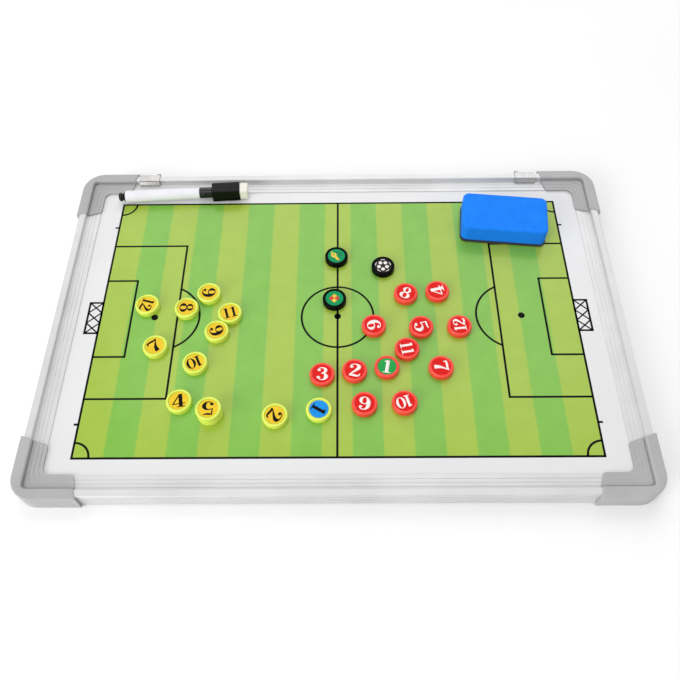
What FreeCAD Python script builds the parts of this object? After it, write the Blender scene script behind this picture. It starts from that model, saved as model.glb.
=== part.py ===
import FreeCAD, Part
import os
import Sketcher
from types import SimpleNamespace

# A magnetic tactics board lying on its back: four hollow aluminium rails and four moulded corner caps
# round a printed steel sheet, two hanger clips on the top rail, a capped marker, a foam eraser and
# twenty-seven round magnetic counters. Millimetres. The origin is the middle of the plane that the
# board lies on, +X runs along its length, +Y towards the rail with the clips, +Z out of the sheet.

doc = FreeCAD.newDocument("TacticsBoard")
sheet = doc.addObject("Spreadsheet::Sheet", "Sizes")
size = SimpleNamespace()
pieces = {}


class Size:
    # A number from the sheet together with the expression that keeps a property tied to it.
    def __init__(self, value, text):
        self.value = value
        self.text = text

    def __add__(self, other):
        other = as_size(other)
        return Size(self.value + other.value, f"({self.text} + {other.text})")

    def __sub__(self, other):
        other = as_size(other)
        return Size(self.value - other.value, f"({self.text} - {other.text})")

    def __mul__(self, other):
        other = as_size(other)
        return Size(self.value * other.value, f"({self.text} * {other.text})")

    def __truediv__(self, other):
        other = as_size(other)
        return Size(self.value / other.value, f"({self.text} / {other.text})")

    def __neg__(self):
        return Size(-self.value, f"(0 - {self.text})")


def as_size(number):
    if isinstance(number, Size):
        return number
    return Size(float(number), repr(float(number)))


# The driving sizes: the alias in the sheet, the number, and what it is.
sizes = [
    # Board and panel
    ("board_length", 450, "length over the rails"),
    ("board_depth", 300, "depth over the rails"),
    ("sheet_gauge", 0.35, "thickness of the steel sheet"),
    ("core_gauge", 5.3, "thickness of the core board"),
    ("backing_gauge", 0.35, "thickness of the backing sheet"),
    ("panel_play", 0.1, "gap between the panel and the rail's lips"),
    ("panel_edge_play", 0.3, "gap between the panel's edge and the rail's web"),
    # Rail extrusion
    ("rail_width", 17, "plan width of a rail"),
    ("rail_foot", 1.2, "height of the rail's underside"),
    ("rail_wall", 1.2, "wall of the extrusion"),
    ("rail_bevel", 0.5, "bevel on the ridge's edges"),
    ("ridge_width", 5.7, "width of the raised ridge"),
    ("ridge_rise", 3.6, "height of the ridge above the front lip's root"),
    ("chamber_width", 4.8, "width of the chamber that holds a tongue"),
    ("lip_edge", 0.6, "thickness of the front lip at its edge"),
    ("lip_root", 1.0, "thickness of the front lip at the ridge"),
    ("back_lip_reach", 14, "distance of the back lip's edge from the outer face"),
    ("back_lip_gauge", 1.2, "thickness of the back lip"),
    ("back_lip_rise", 1.8, "height of the back lip above the rail's underside"),
    ("groove_depth", 0.25, "depth of the fine grooves along a rail"),
    ("groove_width", 0.7, "width of the fine grooves along a rail"),
    ("lip_groove_start", 7.4, "first groove of the front lip, from the outer face"),
    ("lip_groove_pitch", 2.9, "distance between the lip's grooves"),
    ("wall_groove_start", 4.6, "lowest groove of the outer wall, above the table"),
    ("wall_groove_pitch", 3.4, "distance between the wall's grooves"),
    ("rail_stop", 2, "how far a rail ends short of the crossing rail"),
    # Corner cap
    ("cap_wall", 2.2, "how far the cap stands outside the rail"),
    ("cap_skin", 0.8, "how far the cap stands above the ridge"),
    ("cap_arm", 46, "arm length from the rails' outer corner"),
    ("cap_end_slant", 6, "how much shorter the arm is at its inner edge"),
    ("cap_reach", 17.6, "distance of the cap's inner edge from the outer face"),
    ("cap_fit", 0.15, "clearance of the cap round the rail"),
    ("cap_grip", 1.0, "thickness of the leg behind the rail"),
    ("cap_ledge", 1.65, "height of the lowest ledge above the front lip's underside"),
    ("cap_step", 0.25, "height of each further ledge"),
    ("cap_step_reach", 2.9, "plan width of each further ledge"),
    ("cap_valley", 1, "width of the valley at the foot of the ridge cover"),
    ("cap_outer_radius", 18, "plan radius of the outer corner"),
    ("cap_inner_radius", 6, "plan radius of the inner corner"),
    ("cap_fan", 0.4, "how much the ledges' radius grows for each millimetre towards the ridge"),
    ("cap_bend_radius", 3.3, "plan radius of the ridge cover's inner corner"),
    ("cap_end_radius", 2.5, "plan radius at the inner end of an arm"),
    ("cap_crest_radius", 1.2, "rounding of the ridge cover"),
    ("tongue_length", 24, "length of a tongue inside a rail"),
    ("tongue_fit", 0.1, "clearance of a tongue in its chamber"),
    # Corner screws
    ("screw_place", 32, "distance of a screw from the rails' outer corner"),
    ("screw_diameter", 3, "diameter of the shank"),
    ("screw_head", 5.4, "diameter of the flat head"),
    ("screw_head_height", 0.9, "height of the flat head"),
    ("screw_cross", 3.2, "span of the driver's cross"),
    ("screw_cross_width", 0.7, "width of the cross's slots"),
    ("screw_cross_depth", 0.45, "depth of the cross"),
    ("screw_length", 7, "length over all"),
    ("screw_fit", 0.05, "clearance round the screw"),
    ("screw_sink", 0.2, "depth of the head below the cap's underside"),
    # Hanger clips
    ("clip_length", 20, "length along the rail"),
    ("clip_gauge", 0.8, "thickness of the bent sheet"),
    ("clip_fit", 0.15, "clearance round the rail"),
    ("clip_toe", 2.6, "width of the toe that lies on the front lip"),
    ("clip_tail", 19, "reach of the tail behind the rail"),
    ("clip_bend", 0.9, "outside radius of the bends"),
    ("clip_left_inset", 56.3, "distance of the left clip's middle from the board's end"),
    ("clip_right_inset", 56.9, "distance of the right clip's middle from the board's end"),
    ("eye_diameter", 6, "diameter of the nail eye"),
    ("eye_place", 13.2, "distance of the eye from the rail's outer face"),
    ("ear_length", 5.5, "length of the flared ear along the rail"),
    ("ear_flare", 1.8, "how far the ear stands out"),
    ("ear_height", 4.2, "height of the flared ear"),
    # Marker
    ("pen_side_inset", 32.8, "distance of the marker's tail from the board's left end"),
    ("pen_top_inset", 27, "distance of the marker's tail from the board's top edge"),
    ("pen_turn", 3.3, "angle of the marker on the sheet, in degrees"),
    ("pen_lift", 0.9, "height of the cap block above the sheet, on the rail's front lip"),
    ("pen_fit", 0.08, "clearance between the marker's sliding and plugged pieces"),
    ("plug_length", 6, "visible length of the end plug"),
    ("plug_knob", 7.6, "diameter of the end plug's knob"),
    ("plug_knob_length", 2.4, "length of the end plug's knob"),
    ("plug_waist", 5, "diameter of the end plug's waist"),
    ("plug_insert", 8, "length of the end plug inside the barrel"),
    ("plug_bevel", 0.8, "bevel on the knob"),
    ("barrel_length", 64.8, "length of the barrel"),
    ("barrel_diameter", 10.6, "diameter of the barrel at its tail"),
    ("barrel_mouth", 9.6, "diameter of the barrel at the cap, where its draft ends"),
    ("barrel_bore", 8.4, "bore of the barrel"),
    ("barrel_front", 2, "thickness of the barrel's front wall"),
    ("barrel_bevel", 0.4, "bevel on the barrel's front edge"),
    ("nose_length", 10, "length of the nose inside the cap"),
    ("nose_diameter", 6.4, "diameter of the nose"),
    ("nib_diameter", 3.8, "diameter of the nib"),
    ("nib_reach", 6, "length of the nib outside the nose"),
    ("nib_tip", 1.4, "diameter of the flat on the nib's tip"),
    ("nib_taper", 2.6, "length of the nib's taper"),
    ("reservoir_play", 0.2, "end play of the reservoir"),
    ("neck_length", 10.8, "length of the cap's round neck"),
    ("neck_diameter", 9.4, "diameter of the cap's round neck"),
    ("neck_gap", 0.15, "gap between the barrel and the cap"),
    ("block_length", 24.2, "length of the cap's square block"),
    ("block_side", 11.8, "side of the cap's square block"),
    ("block_radius", 1, "rounding along the block's edges"),
    ("cap_bore_spare", 1.5, "room in front of the nib inside the cap"),
    ("cap_magnet_diameter", 8, "diameter of the magnet in the cap"),
    ("cap_magnet_height", 3, "height of the magnet in the cap"),
    ("magnet_fit", 0.05, "clearance round a magnet in its pocket"),
    ("pen_felt_length", 7.1, "length of the felt on the cap"),
    ("pen_felt_side", 10.8, "side of the felt on the cap"),
    ("pen_felt_radius", 1.6, "rounding along the felt's edges"),
    # Eraser
    ("eraser_side_inset", 83.8, "distance of the eraser's middle from the board's right end"),
    ("eraser_top_inset", 58, "distance of the eraser's middle from the board's top edge"),
    ("eraser_turn", -6, "angle of the eraser on the sheet, in degrees"),
    ("eraser_length", 72, "length of the felt pad"),
    ("eraser_width", 40.5, "width of the felt pad"),
    ("eraser_radius", 6, "plan radius of the corners"),
    ("eraser_felt_gauge", 2.5, "thickness of the felt pad"),
    ("foam_inset", 0.6, "how far the foam stands inside the felt"),
    ("foam_height", 15.8, "height of the foam"),
    ("foam_edge_radius", 1.8, "rounding of the foam's top edge"),
    ("eraser_magnet_length", 50, "length of the magnet strip"),
    ("eraser_magnet_width", 15, "width of the magnet strip"),
    ("eraser_magnet_height", 2.5, "height of the magnet strip"),
    ("print_gap", 0.12, "gap that the printed ink takes up under what lies on the sheet"),
    # Counters
    ("counter_diameter", 19, "diameter of a counter"),
    ("counter_height", 5, "height of a counter"),
    ("counter_rim", 1.8, "width of the raised rim"),
    ("counter_recess", 0.6, "depth of the disc below the rim"),
    ("counter_rounding", 1.1, "rounding of the rim's outer edge"),
    ("counter_magnet", 13, "diameter of the magnet in the base"),
    ("counter_magnet_height", 2, "height of the magnet in the base"),
    ("neighbour_gap", 0.235, "gap between two counters that lie side by side"),
    ("neighbour_run", -0.4679, "share of the step to the next counter that runs along the board"),
    ("neighbour_rise", -0.8838, "share of the step to the next counter that runs across the board"),
]

# Where each counter lies on the sheet, from the middle of the board.
counter_places = {
    "yellow_counter_01": (-13.5, -84.0),
    "yellow_counter_02": (-45.5, -88.5),
    "yellow_counter_03": (-93.5, -85.5),
    "yellow_counter_04": (-117.0, -76.5),
    "yellow_counter_07": (-141.0, -29.0),
    "yellow_counter_08": (-120.5, 6.5),
    "yellow_counter_09": (-104.0, 21.0),
    "yellow_counter_10": (-108.5, -44.0),
    "yellow_counter_11": (-85.5, 1.5),
    "yellow_counter_12": (-152.5, 10.0),
    "red_counter_01": (37.5, -48.5),
    "red_counter_02": (13.0, -51.5),
    "red_counter_03": (-11.5, -54.5),
    "red_counter_04": (80.5, 21.5),
    "red_counter_05": (65.5, -12.5),
    "red_counter_06": (20.0, -79.5),
    "red_counter_07": (78.5, -49.0),
    "red_counter_08": (55.0, 19.5),
    "red_counter_09": (28.5, -11.0),
    "red_counter_10": (49.5, -78.5),
    "red_counter_11": (53.5, -32.5),
    "red_counter_12": (95.5, -12.0),
    "whistle_counter": (-1.0, 57.5),
    "flag_counter": (-2.5, 14.5),
    "ball_counter": (37.5, 47.0),
}
for label, (x, y) in counter_places.items():
    sizes.append((f"{label}_x", x, "place along the board"))
    sizes.append((f"{label}_y", y, "place across the board"))

for row, (alias, number, words) in enumerate(sizes, start=1):
    sheet.set(f"A{row}", words)
    sheet.set(f"B{row}", str(number))
    sheet.setAlias(f"B{row}", alias)
    setattr(size, alias, Size(float(number), f"Sizes.{alias}"))
doc.recompute()

# Heights and reaches that several pieces share.
zero = as_size(0)
half_length = size.board_length / 2
half_depth = size.board_depth / 2
back_lip_under = size.rail_foot + size.back_lip_rise
back_lip_top = back_lip_under + size.back_lip_gauge
panel_under = back_lip_top + size.panel_play
sheet_level = panel_under + size.backing_gauge + size.core_gauge + size.sheet_gauge
lip_under = sheet_level + size.panel_play
lip_edge_top = lip_under + size.lip_edge
lip_root_top = lip_under + size.lip_root
rail_crest = lip_root_top + size.ridge_rise
chamber_crown = lip_under - size.rail_wall
chamber_middle = size.rail_wall + size.chamber_width / 2
web_reach = size.chamber_width + size.rail_wall * 2
rail_end = size.rail_width + size.rail_stop
rest_level = sheet_level + size.print_gap
screw_hole = size.screw_diameter + size.screw_fit * 2
pen_axis = sheet_level + size.pen_lift + size.block_side / 2


def origin_plane(body, role):
    for feature in body.Origin.OriginFeatures:
        if feature.Role == role:
            return feature


def new_sketch(body, name, role, lift):
    sketch = body.newObject("Sketcher::SketchObject", name)
    sketch.AttachmentSupport = [(origin_plane(body, role), "")]
    sketch.MapMode = "FlatFace"
    if lift is not None:
        sketch.setExpression("AttachmentOffset.Base.z", lift.text)
    return sketch


def fix_point(sketch, line, end, x, y):
    # Ties one end of a line to its distances from the sketch's origin.
    for kind, distance in (("DistanceX", x), ("DistanceY", y)):
        index = sketch.addConstraint(Sketcher.Constraint(kind, -1, 1, line, end, distance.value))
        sketch.setExpression(f"Constraints[{index}]", distance.text)


def draw(body, name, role, *loops, lift=None):
    # A sketch of closed outlines, each a list of corners given by sizes.
    sketch = new_sketch(body, name, role, lift)
    for loop in loops:
        corners = [(as_size(x), as_size(y)) for x, y in loop]
        first = sketch.GeometryCount
        ends = corners[1:] + corners[:1]
        for (x, y), (next_x, next_y) in zip(corners, ends):
            start = FreeCAD.Vector(x.value, y.value, 0)
            stop = FreeCAD.Vector(next_x.value, next_y.value, 0)
            sketch.addGeometry(Part.LineSegment(start, stop))
        for index, (x, y) in enumerate(corners):
            following = first + (index + 1) % len(corners)
            sketch.addConstraint(Sketcher.Constraint("Coincident", first + index, 2, following, 1))
            fix_point(sketch, first + index, 1, x, y)
    return sketch


def draw_circle(body, name, role, x, y, diameter, lift=None):
    sketch = new_sketch(body, name, role, lift)
    x, y = as_size(x), as_size(y)
    centre = FreeCAD.Vector(x.value, y.value, 0)
    sketch.addGeometry(Part.Circle(centre, FreeCAD.Vector(0, 0, 1), diameter.value / 2))
    fix_point(sketch, 0, 3, x, y)
    index = sketch.addConstraint(Sketcher.Constraint("Diameter", 0, diameter.value))
    sketch.setExpression(f"Constraints[{index}]", diameter.text)
    return sketch


def rectangle(low_x, low_y, high_x, high_y):
    return [(low_x, low_y), (high_x, low_y), (high_x, high_y), (low_x, high_y)]


def extrude(body, kind, sketch, length, reverse=False, both_ways=False):
    feature = body.newObject(f"PartDesign::{kind}", f"{sketch.Name}_{kind.lower()}")
    feature.Profile = sketch
    feature.SideType = "Symmetric" if both_ways else "One side"
    feature.setExpression("Length", as_size(length).text)
    feature.Reversed = reverse
    sketch.Visibility = False
    return feature


def pad(body, sketch, length, **ways):
    return extrude(body, "Pad", sketch, length, **ways)


def pocket(body, sketch, length, **ways):
    # Cuts the sketch out of the body, and stops if nothing was cut.
    doc.recompute()
    before = body.Shape.Volume
    feature = extrude(body, "Pocket", sketch, length, **ways)
    doc.recompute()
    if body.Shape.Volume >= before:
        raise RuntimeError(f"{feature.Name} cuts nothing")
    return feature


def revolve(body, sketch, axis):
    feature = body.newObject("PartDesign::Revolution", f"{sketch.Name}_turned")
    feature.Profile = sketch
    feature.ReferenceAxis = (sketch, [axis])
    feature.Angle = 360
    return feature


def round_edges(body, radius, wanted):
    # Rounds the edges of the body so far that the test picks out.
    doc.recompute()
    base = body.Tip
    names = [f"Edge{number}" for number, edge in enumerate(base.Shape.Edges, 1) if wanted(edge)]
    if not names:
        raise RuntimeError(f"no edge to round on {body.Name}")
    feature = body.newObject("PartDesign::Fillet", f"{body.Name}_rounding")
    feature.Base = (base, names)
    feature.setExpression("Radius", as_size(radius).text)
    doc.recompute()
    return feature


def is_upright_at(x, y):
    def test(edge):
        return all(abs(v.X - x.value) < 1e-4 and abs(v.Y - y.value) < 1e-4 for v in edge.Vertexes)
    return test


def is_along_x_at(y, z):
    def test(edge):
        return all(abs(v.Y - y.value) < 1e-4 and abs(v.Z - z.value) < 1e-4 for v in edge.Vertexes)
    return test


def is_level_at(z):
    def test(edge):
        box = edge.BoundBox
        return abs(box.ZMin - z.value) < 1e-4 and abs(box.ZMax - z.value) < 1e-4
    return test


def is_upright(edge):
    box = edge.BoundBox
    return box.XLength < 1e-4 and box.YLength < 1e-4


def is_long_edge(length):
    def test(edge):
        return edge.Curve.TypeId == "Part::GeomLine" and abs(edge.Length - length.value) < 1e-4
    return test


def is_ring(z, radius):
    level = is_level_at(z)

    def test(edge):
        return level(edge) and abs(edge.Curve.Radius - radius.value) < 1e-4
    return test


def put(piece, x, y, z, turn=None):
    # Places a piece from sizes; a turn is about the upright axis, in degrees.
    if turn is not None:
        piece.Placement.Rotation = FreeCAD.Rotation(FreeCAD.Vector(0, 0, 1), as_size(turn).value)
    for axis, distance in (("x", x), ("y", y), ("z", z)):
        piece.setExpression(f"Placement.Base.{axis}", as_size(distance).text)


def new_body(label):
    body = doc.addObject("PartDesign::Body", label)
    body.Label = label
    return body


def add_box(label, length, width, height):
    box = doc.addObject("Part::Box", label)
    box.setExpression("Length", as_size(length).text)
    box.setExpression("Width", as_size(width).text)
    box.setExpression("Height", as_size(height).text)
    return box


def lip_height(reach):
    # Height of the sloping front lip at a distance from the rail's outer face.
    slope = (size.lip_root - size.lip_edge) / (size.rail_width - size.ridge_width)
    return lip_edge_top + (size.rail_width - reach) * slope


def rail_outline():
    # The rail's section: y is minus the distance from the outer face, z is the height.
    points = [(zero, size.rail_foot)]
    for step in range(3):
        low = size.wall_groove_start + size.wall_groove_pitch * step
        high = low + size.groove_width
        points += [(zero, low), (-size.groove_depth, low), (-size.groove_depth, high), (zero, high)]
    points += [
        (zero, rail_crest - size.rail_bevel),
        (-size.rail_bevel, rail_crest),
        (size.rail_bevel - size.ridge_width, rail_crest),
        (-size.ridge_width, rail_crest - size.rail_bevel),
        (-size.ridge_width, lip_root_top),
    ]
    for step in range(3):
        near = size.lip_groove_start + size.lip_groove_pitch * step
        far = near + size.groove_width
        points += [(-near, lip_height(near)), (-near, lip_height(near) - size.groove_depth)]
        points += [(-far, lip_height(far) - size.groove_depth), (-far, lip_height(far))]
    points += [
        (-size.rail_width, lip_edge_top),
        (-size.rail_width, lip_under),
        (-web_reach, lip_under),
        (-web_reach, back_lip_top),
        (-size.back_lip_reach, back_lip_top),
        (-size.back_lip_reach, back_lip_under),
        (-web_reach, back_lip_under),
        (-web_reach, size.rail_foot),
    ]
    return points


def chamber_outline():
    # The hollow inside a rail: a tongue's chamber below, the ridge's hollow above.
    floor = size.rail_foot + size.rail_wall
    ceiling = rail_crest - size.rail_wall
    chamber_side = size.rail_wall + size.chamber_width
    ridge_side = size.ridge_width - size.rail_wall
    return [
        (-size.rail_wall, floor),
        (-size.rail_wall, ceiling),
        (-ridge_side, ceiling),
        (-ridge_side, chamber_crown),
        (-chamber_side, chamber_crown),
        (-chamber_side, floor),
    ]


def drill_rail(rail, name, length, end):
    # A screw hole through the back wall near one end of a rail.
    x = (length / 2 + rail_end - size.screw_place) * end
    hole = draw_circle(rail, name, "XY_Plane", x, -chamber_middle, screw_hole)
    pocket(rail, hole, size.rail_foot + size.rail_wall * 2, reverse=True)


def make_rail(label, length, x, y, turn):
    rail = new_body(label)
    section = draw(rail, f"{label}_section", "YZ_Plane", rail_outline(), chamber_outline())
    pad(rail, section, length, both_ways=True)
    drill_rail(rail, f"{label}_hole_first", length, 1)
    drill_rail(rail, f"{label}_hole_last", length, -1)
    put(rail, x, y, zero, turn)
    pieces[label] = rail


def arm_end(reach):
    # The arm's slanting end: where it lies at a distance inside the rail's outer face.
    slant = size.cap_end_slant / (size.cap_reach + size.cap_wall)
    return (reach + size.cap_wall) * slant - size.cap_arm


def elbow(outer, inner):
    # Plan of an L-shaped band between two distances inside the rails' outer faces.
    return [
        (arm_end(outer), -outer),
        (-outer, -outer),
        (-outer, arm_end(outer)),
        (-inner, arm_end(inner)),
        (-inner, -inner),
        (arm_end(inner), -inner),
    ]


def square_elbow(outer, inner):
    # The same band with square arm ends.
    end = arm_end(inner)
    return [(end, -outer), (-outer, -outer), (-outer, end), (-inner, end), (-inner, -inner), (end, -inner)]


def seat_outline():
    # The rail's outside with the cap's clearance.
    fit = size.cap_fit
    return [
        (fit, size.rail_foot - fit),
        (fit, rail_crest + fit),
        (-size.ridge_width - fit, rail_crest + fit),
        (-size.ridge_width - fit, lip_root_top + fit),
        (-size.rail_width - fit, lip_edge_top + fit),
        (-size.rail_width - fit, lip_under - fit),
        (-web_reach - fit, lip_under - fit),
        (-web_reach - fit, size.rail_foot - fit),
    ]


def add_ledge(cap, name, outer, inset, rise):
    # One ledge of the cap over the front lips, with its rounded inner corner.
    inner = size.cap_reach - inset
    plan = draw(cap, name, "XY_Plane", elbow(outer, inner), lift=lip_under)
    pad(cap, plan, size.cap_ledge + rise)
    round_edges(cap, size.cap_inner_radius + inset * size.cap_fan, is_upright_at(-inner, -inner))


def add_ledges(cap, label, ridge_reach):
    # The lowest ledge runs up to the ridge cover; the others step up towards it and leave a valley.
    add_ledge(cap, f"{label}_ledge_0", size.ridge_width / 2, zero, zero)
    end = arm_end(size.cap_reach)
    round_edges(cap, size.cap_end_radius, is_upright_at(end, -size.cap_reach))
    round_edges(cap, size.cap_end_radius, is_upright_at(-size.cap_reach, end))
    valley_edge = ridge_reach + size.cap_valley
    for step in range(1, 4):
        add_ledge(cap, f"{label}_ledge_{step}", valley_edge, size.cap_step_reach * step, size.cap_step * step)
        round_edges(cap, size.cap_bend_radius, is_upright_at(-valley_edge, -valley_edge))


def add_tongues(cap, label, end_plane):
    # A tongue along each arm, which plugs the rail's chamber.
    near = size.rail_wall + size.tongue_fit
    far = size.rail_wall + size.chamber_width - size.tongue_fit
    low = size.rail_foot + size.rail_wall + size.tongue_fit
    section = rectangle(-far, low, -near, chamber_crown - size.tongue_fit)
    along_x = draw(cap, f"{label}_tongue_x", "YZ_Plane", section, lift=-end_plane)
    pad(cap, along_x, size.tongue_length, reverse=True)
    along_y = draw(cap, f"{label}_tongue_y", "XZ_Plane", section, lift=end_plane)
    pad(cap, along_y, size.tongue_length)


def make_corner_cap(label, x, y, turn):
    # The caps are one moulding, turned to each corner. Its own frame has the rails' outer faces
    # at x = 0 and y = 0, with one arm along -x and the other along -y.
    cap = new_body(label)
    ridge_reach = size.ridge_width + size.cap_skin
    crest = rail_crest + size.cap_skin
    pad(cap, draw(cap, f"{label}_ridge", "XY_Plane", elbow(-size.cap_wall, ridge_reach)), crest)
    round_edges(cap, size.cap_outer_radius, is_upright_at(size.cap_wall, size.cap_wall))
    round_edges(cap, size.cap_bend_radius, is_upright_at(-ridge_reach, -ridge_reach))
    round_edges(cap, size.cap_crest_radius, is_level_at(crest))
    grip_reach = web_reach + size.cap_fit + size.cap_grip
    grip = draw(cap, f"{label}_grip", "XY_Plane", square_elbow(size.ridge_width / 2, grip_reach))
    pad(cap, grip, back_lip_under - size.cap_fit)
    add_ledges(cap, label, ridge_reach)
    end_plane = rail_end - size.cap_fit
    gusset = rectangle(-end_plane, -end_plane, -size.ridge_width, -size.ridge_width)
    pad(cap, draw(cap, f"{label}_gusset", "XY_Plane", gusset, lift=back_lip_under), size.back_lip_gauge)
    panel_seat = rectangle(-size.cap_arm, -size.cap_arm, -web_reach, -web_reach)
    seat = draw(cap, f"{label}_panel_seat", "XY_Plane", panel_seat, lift=back_lip_top)
    pocket(cap, seat, lip_under - back_lip_top, reverse=True)
    along_x = draw(cap, f"{label}_rail_seat_x", "YZ_Plane", seat_outline(), lift=-end_plane)
    pocket(cap, along_x, size.cap_arm)
    along_y = draw(cap, f"{label}_rail_seat_y", "XZ_Plane", seat_outline(), lift=end_plane)
    pocket(cap, along_y, size.cap_arm, reverse=True)
    add_tongues(cap, label, end_plane)
    spots = (("x", -size.screw_place, -chamber_middle), ("y", -chamber_middle, -size.screw_place))
    for arm, spot_x, spot_y in spots:
        hole = draw_circle(cap, f"{label}_screw_hole_{arm}", "XY_Plane", spot_x, spot_y, screw_hole)
        pocket(cap, hole, size.screw_sink + size.screw_length + size.screw_fit * 2, reverse=True)
        head_hole = draw_circle(cap, f"{label}_head_hole_{arm}", "XY_Plane", spot_x, spot_y,
                                size.screw_head + size.screw_fit * 2)
        pocket(cap, head_hole, size.rail_foot - size.cap_fit, reverse=True)
    put(cap, x, y, zero, turn)
    pieces[label] = cap


def make_screw(label, x, y):
    # A flat-headed screw that stands head down, with a driver's cross in its head.
    screw = new_body(label)
    pad(screw, draw_circle(screw, f"{label}_head", "XY_Plane", 0, 0, size.screw_head), size.screw_head_height)
    pad(screw, draw_circle(screw, f"{label}_shank", "XY_Plane", 0, 0, size.screw_diameter), size.screw_length)
    far = size.screw_cross / 2
    near = size.screw_cross_width / 2
    cross = [(-far, -near), (-near, -near), (-near, -far), (near, -far), (near, -near), (far, -near),
             (far, near), (near, near), (near, far), (-near, far), (-near, near), (-far, near)]
    pocket(screw, draw(screw, f"{label}_cross", "XY_Plane", cross), size.screw_cross_depth, reverse=True)
    put(screw, x, y, size.screw_sink)
    return screw


def make_panel(label, gauge, level):
    # One flat layer of the panel, the same in plan as the others.
    edge = web_reach + size.panel_edge_play
    layer = add_box(label, size.board_length - edge * 2, size.board_depth - edge * 2, gauge)
    put(layer, edge - half_length, edge - half_depth, level)
    pieces[label] = layer


def make_clip(label, x, inner_end):
    # A bent strip round the rail's ridge, with its tail and nail eye behind the rail. The section is
    # drawn as the rail's is; the flared ear stands at the end that faces the board's middle.
    clip = new_body(label)
    fit = size.clip_fit
    outside = fit + size.clip_gauge
    toe_edge = size.ridge_width + outside + size.clip_toe
    toe_under = lip_root_top + fit
    section = [
        (-toe_edge, toe_under + size.clip_gauge),
        (-size.ridge_width - outside, toe_under + size.clip_gauge),
        (-size.ridge_width - outside, rail_crest + outside),
        (outside, rail_crest + outside),
        (outside, size.rail_foot - outside),
        (-size.clip_tail, size.rail_foot - outside),
        (-size.clip_tail, size.rail_foot - fit),
        (fit, size.rail_foot - fit),
        (fit, rail_crest + fit),
        (-size.ridge_width - fit, rail_crest + fit),
        (-size.ridge_width - fit, toe_under),
        (-toe_edge, toe_under),
    ]
    strip = draw(clip, f"{label}_section", "YZ_Plane", section)
    pad(clip, strip, size.clip_length, both_ways=True)
    for corner in section[2:5]:
        round_edges(clip, size.clip_bend, is_along_x_at(*corner))
    end = size.clip_length / 2 * inner_end
    root = end - size.ear_length * inner_end
    leaf = [(root, fit), (end, fit + size.ear_flare), (end, outside + size.ear_flare), (root, outside)]
    ear_foot = rail_crest + outside - size.clip_bend - size.ear_height
    pad(clip, draw(clip, f"{label}_ear", "XY_Plane", leaf, lift=ear_foot), size.ear_height)
    eye = draw_circle(clip, f"{label}_eye", "XY_Plane", 0, -size.eye_place, size.eye_diameter)
    pocket(clip, eye, size.rail_foot, reverse=True)
    put(clip, x, half_depth, zero)
    pieces[label] = clip


def turn_along_pen(label, profile):
    # A round piece of the marker: its profile is distance along the marker against radius.
    piece = new_body(label)
    revolve(piece, draw(piece, f"{label}_profile", "XZ_Plane", profile), "H_Axis")
    return piece


def put_on_pen(label, piece):
    put(piece, size.pen_side_inset - half_length, half_depth - size.pen_top_inset, pen_axis, size.pen_turn)
    pieces[label] = piece


def make_marker():
    barrel_start = size.plug_length
    barrel_end = barrel_start + size.barrel_length
    nose_end = barrel_end + size.nose_length
    bore_end = barrel_end - size.barrel_front
    barrel_radius = size.barrel_diameter / 2
    mouth_radius = size.barrel_mouth / 2
    bore_radius = size.barrel_bore / 2
    nib_radius = size.nib_diameter / 2
    insert_end = barrel_start + size.plug_insert
    put_on_pen("marker_barrel", turn_along_pen("marker_barrel", [
        (barrel_start, bore_radius),
        (barrel_start, barrel_radius),
        (barrel_end - size.barrel_bevel, mouth_radius),
        (barrel_end, mouth_radius - size.barrel_bevel),
        (barrel_end, size.nose_diameter / 2),
        (nose_end, size.nose_diameter / 2),
        (nose_end, nib_radius + size.pen_fit),
        (bore_end, nib_radius + size.pen_fit),
        (bore_end, bore_radius),
    ]))
    put_on_pen("marker_end_plug", turn_along_pen("marker_end_plug", [
        (0, 0),
        (0, size.plug_knob / 2 - size.plug_bevel),
        (size.plug_bevel, size.plug_knob / 2),
        (size.plug_knob_length, size.plug_knob / 2),
        (size.plug_knob_length + size.plug_bevel, size.plug_waist / 2),
        (barrel_start - size.plug_bevel, barrel_radius - size.plug_bevel),
        (barrel_start, barrel_radius - size.plug_bevel / 2),
        (barrel_start, bore_radius - size.pen_fit),
        (insert_end, bore_radius - size.pen_fit),
        (insert_end, 0),
    ]))
    put_on_pen("ink_reservoir", turn_along_pen("ink_reservoir", [
        (insert_end + size.reservoir_play, 0),
        (insert_end + size.reservoir_play, bore_radius - size.pen_fit),
        (bore_end - size.reservoir_play, bore_radius - size.pen_fit),
        (bore_end - size.reservoir_play, 0),
    ]))
    nib_end = nose_end + size.nib_reach
    put_on_pen("marker_nib", turn_along_pen("marker_nib", [
        (bore_end - size.reservoir_play, 0),
        (bore_end - size.reservoir_play, nib_radius),
        (nib_end - size.nib_taper, nib_radius),
        (nib_end, size.nib_tip / 2),
        (nib_end, 0),
    ]))
    make_marker_cap(barrel_end + size.neck_gap, nib_end)


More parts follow.
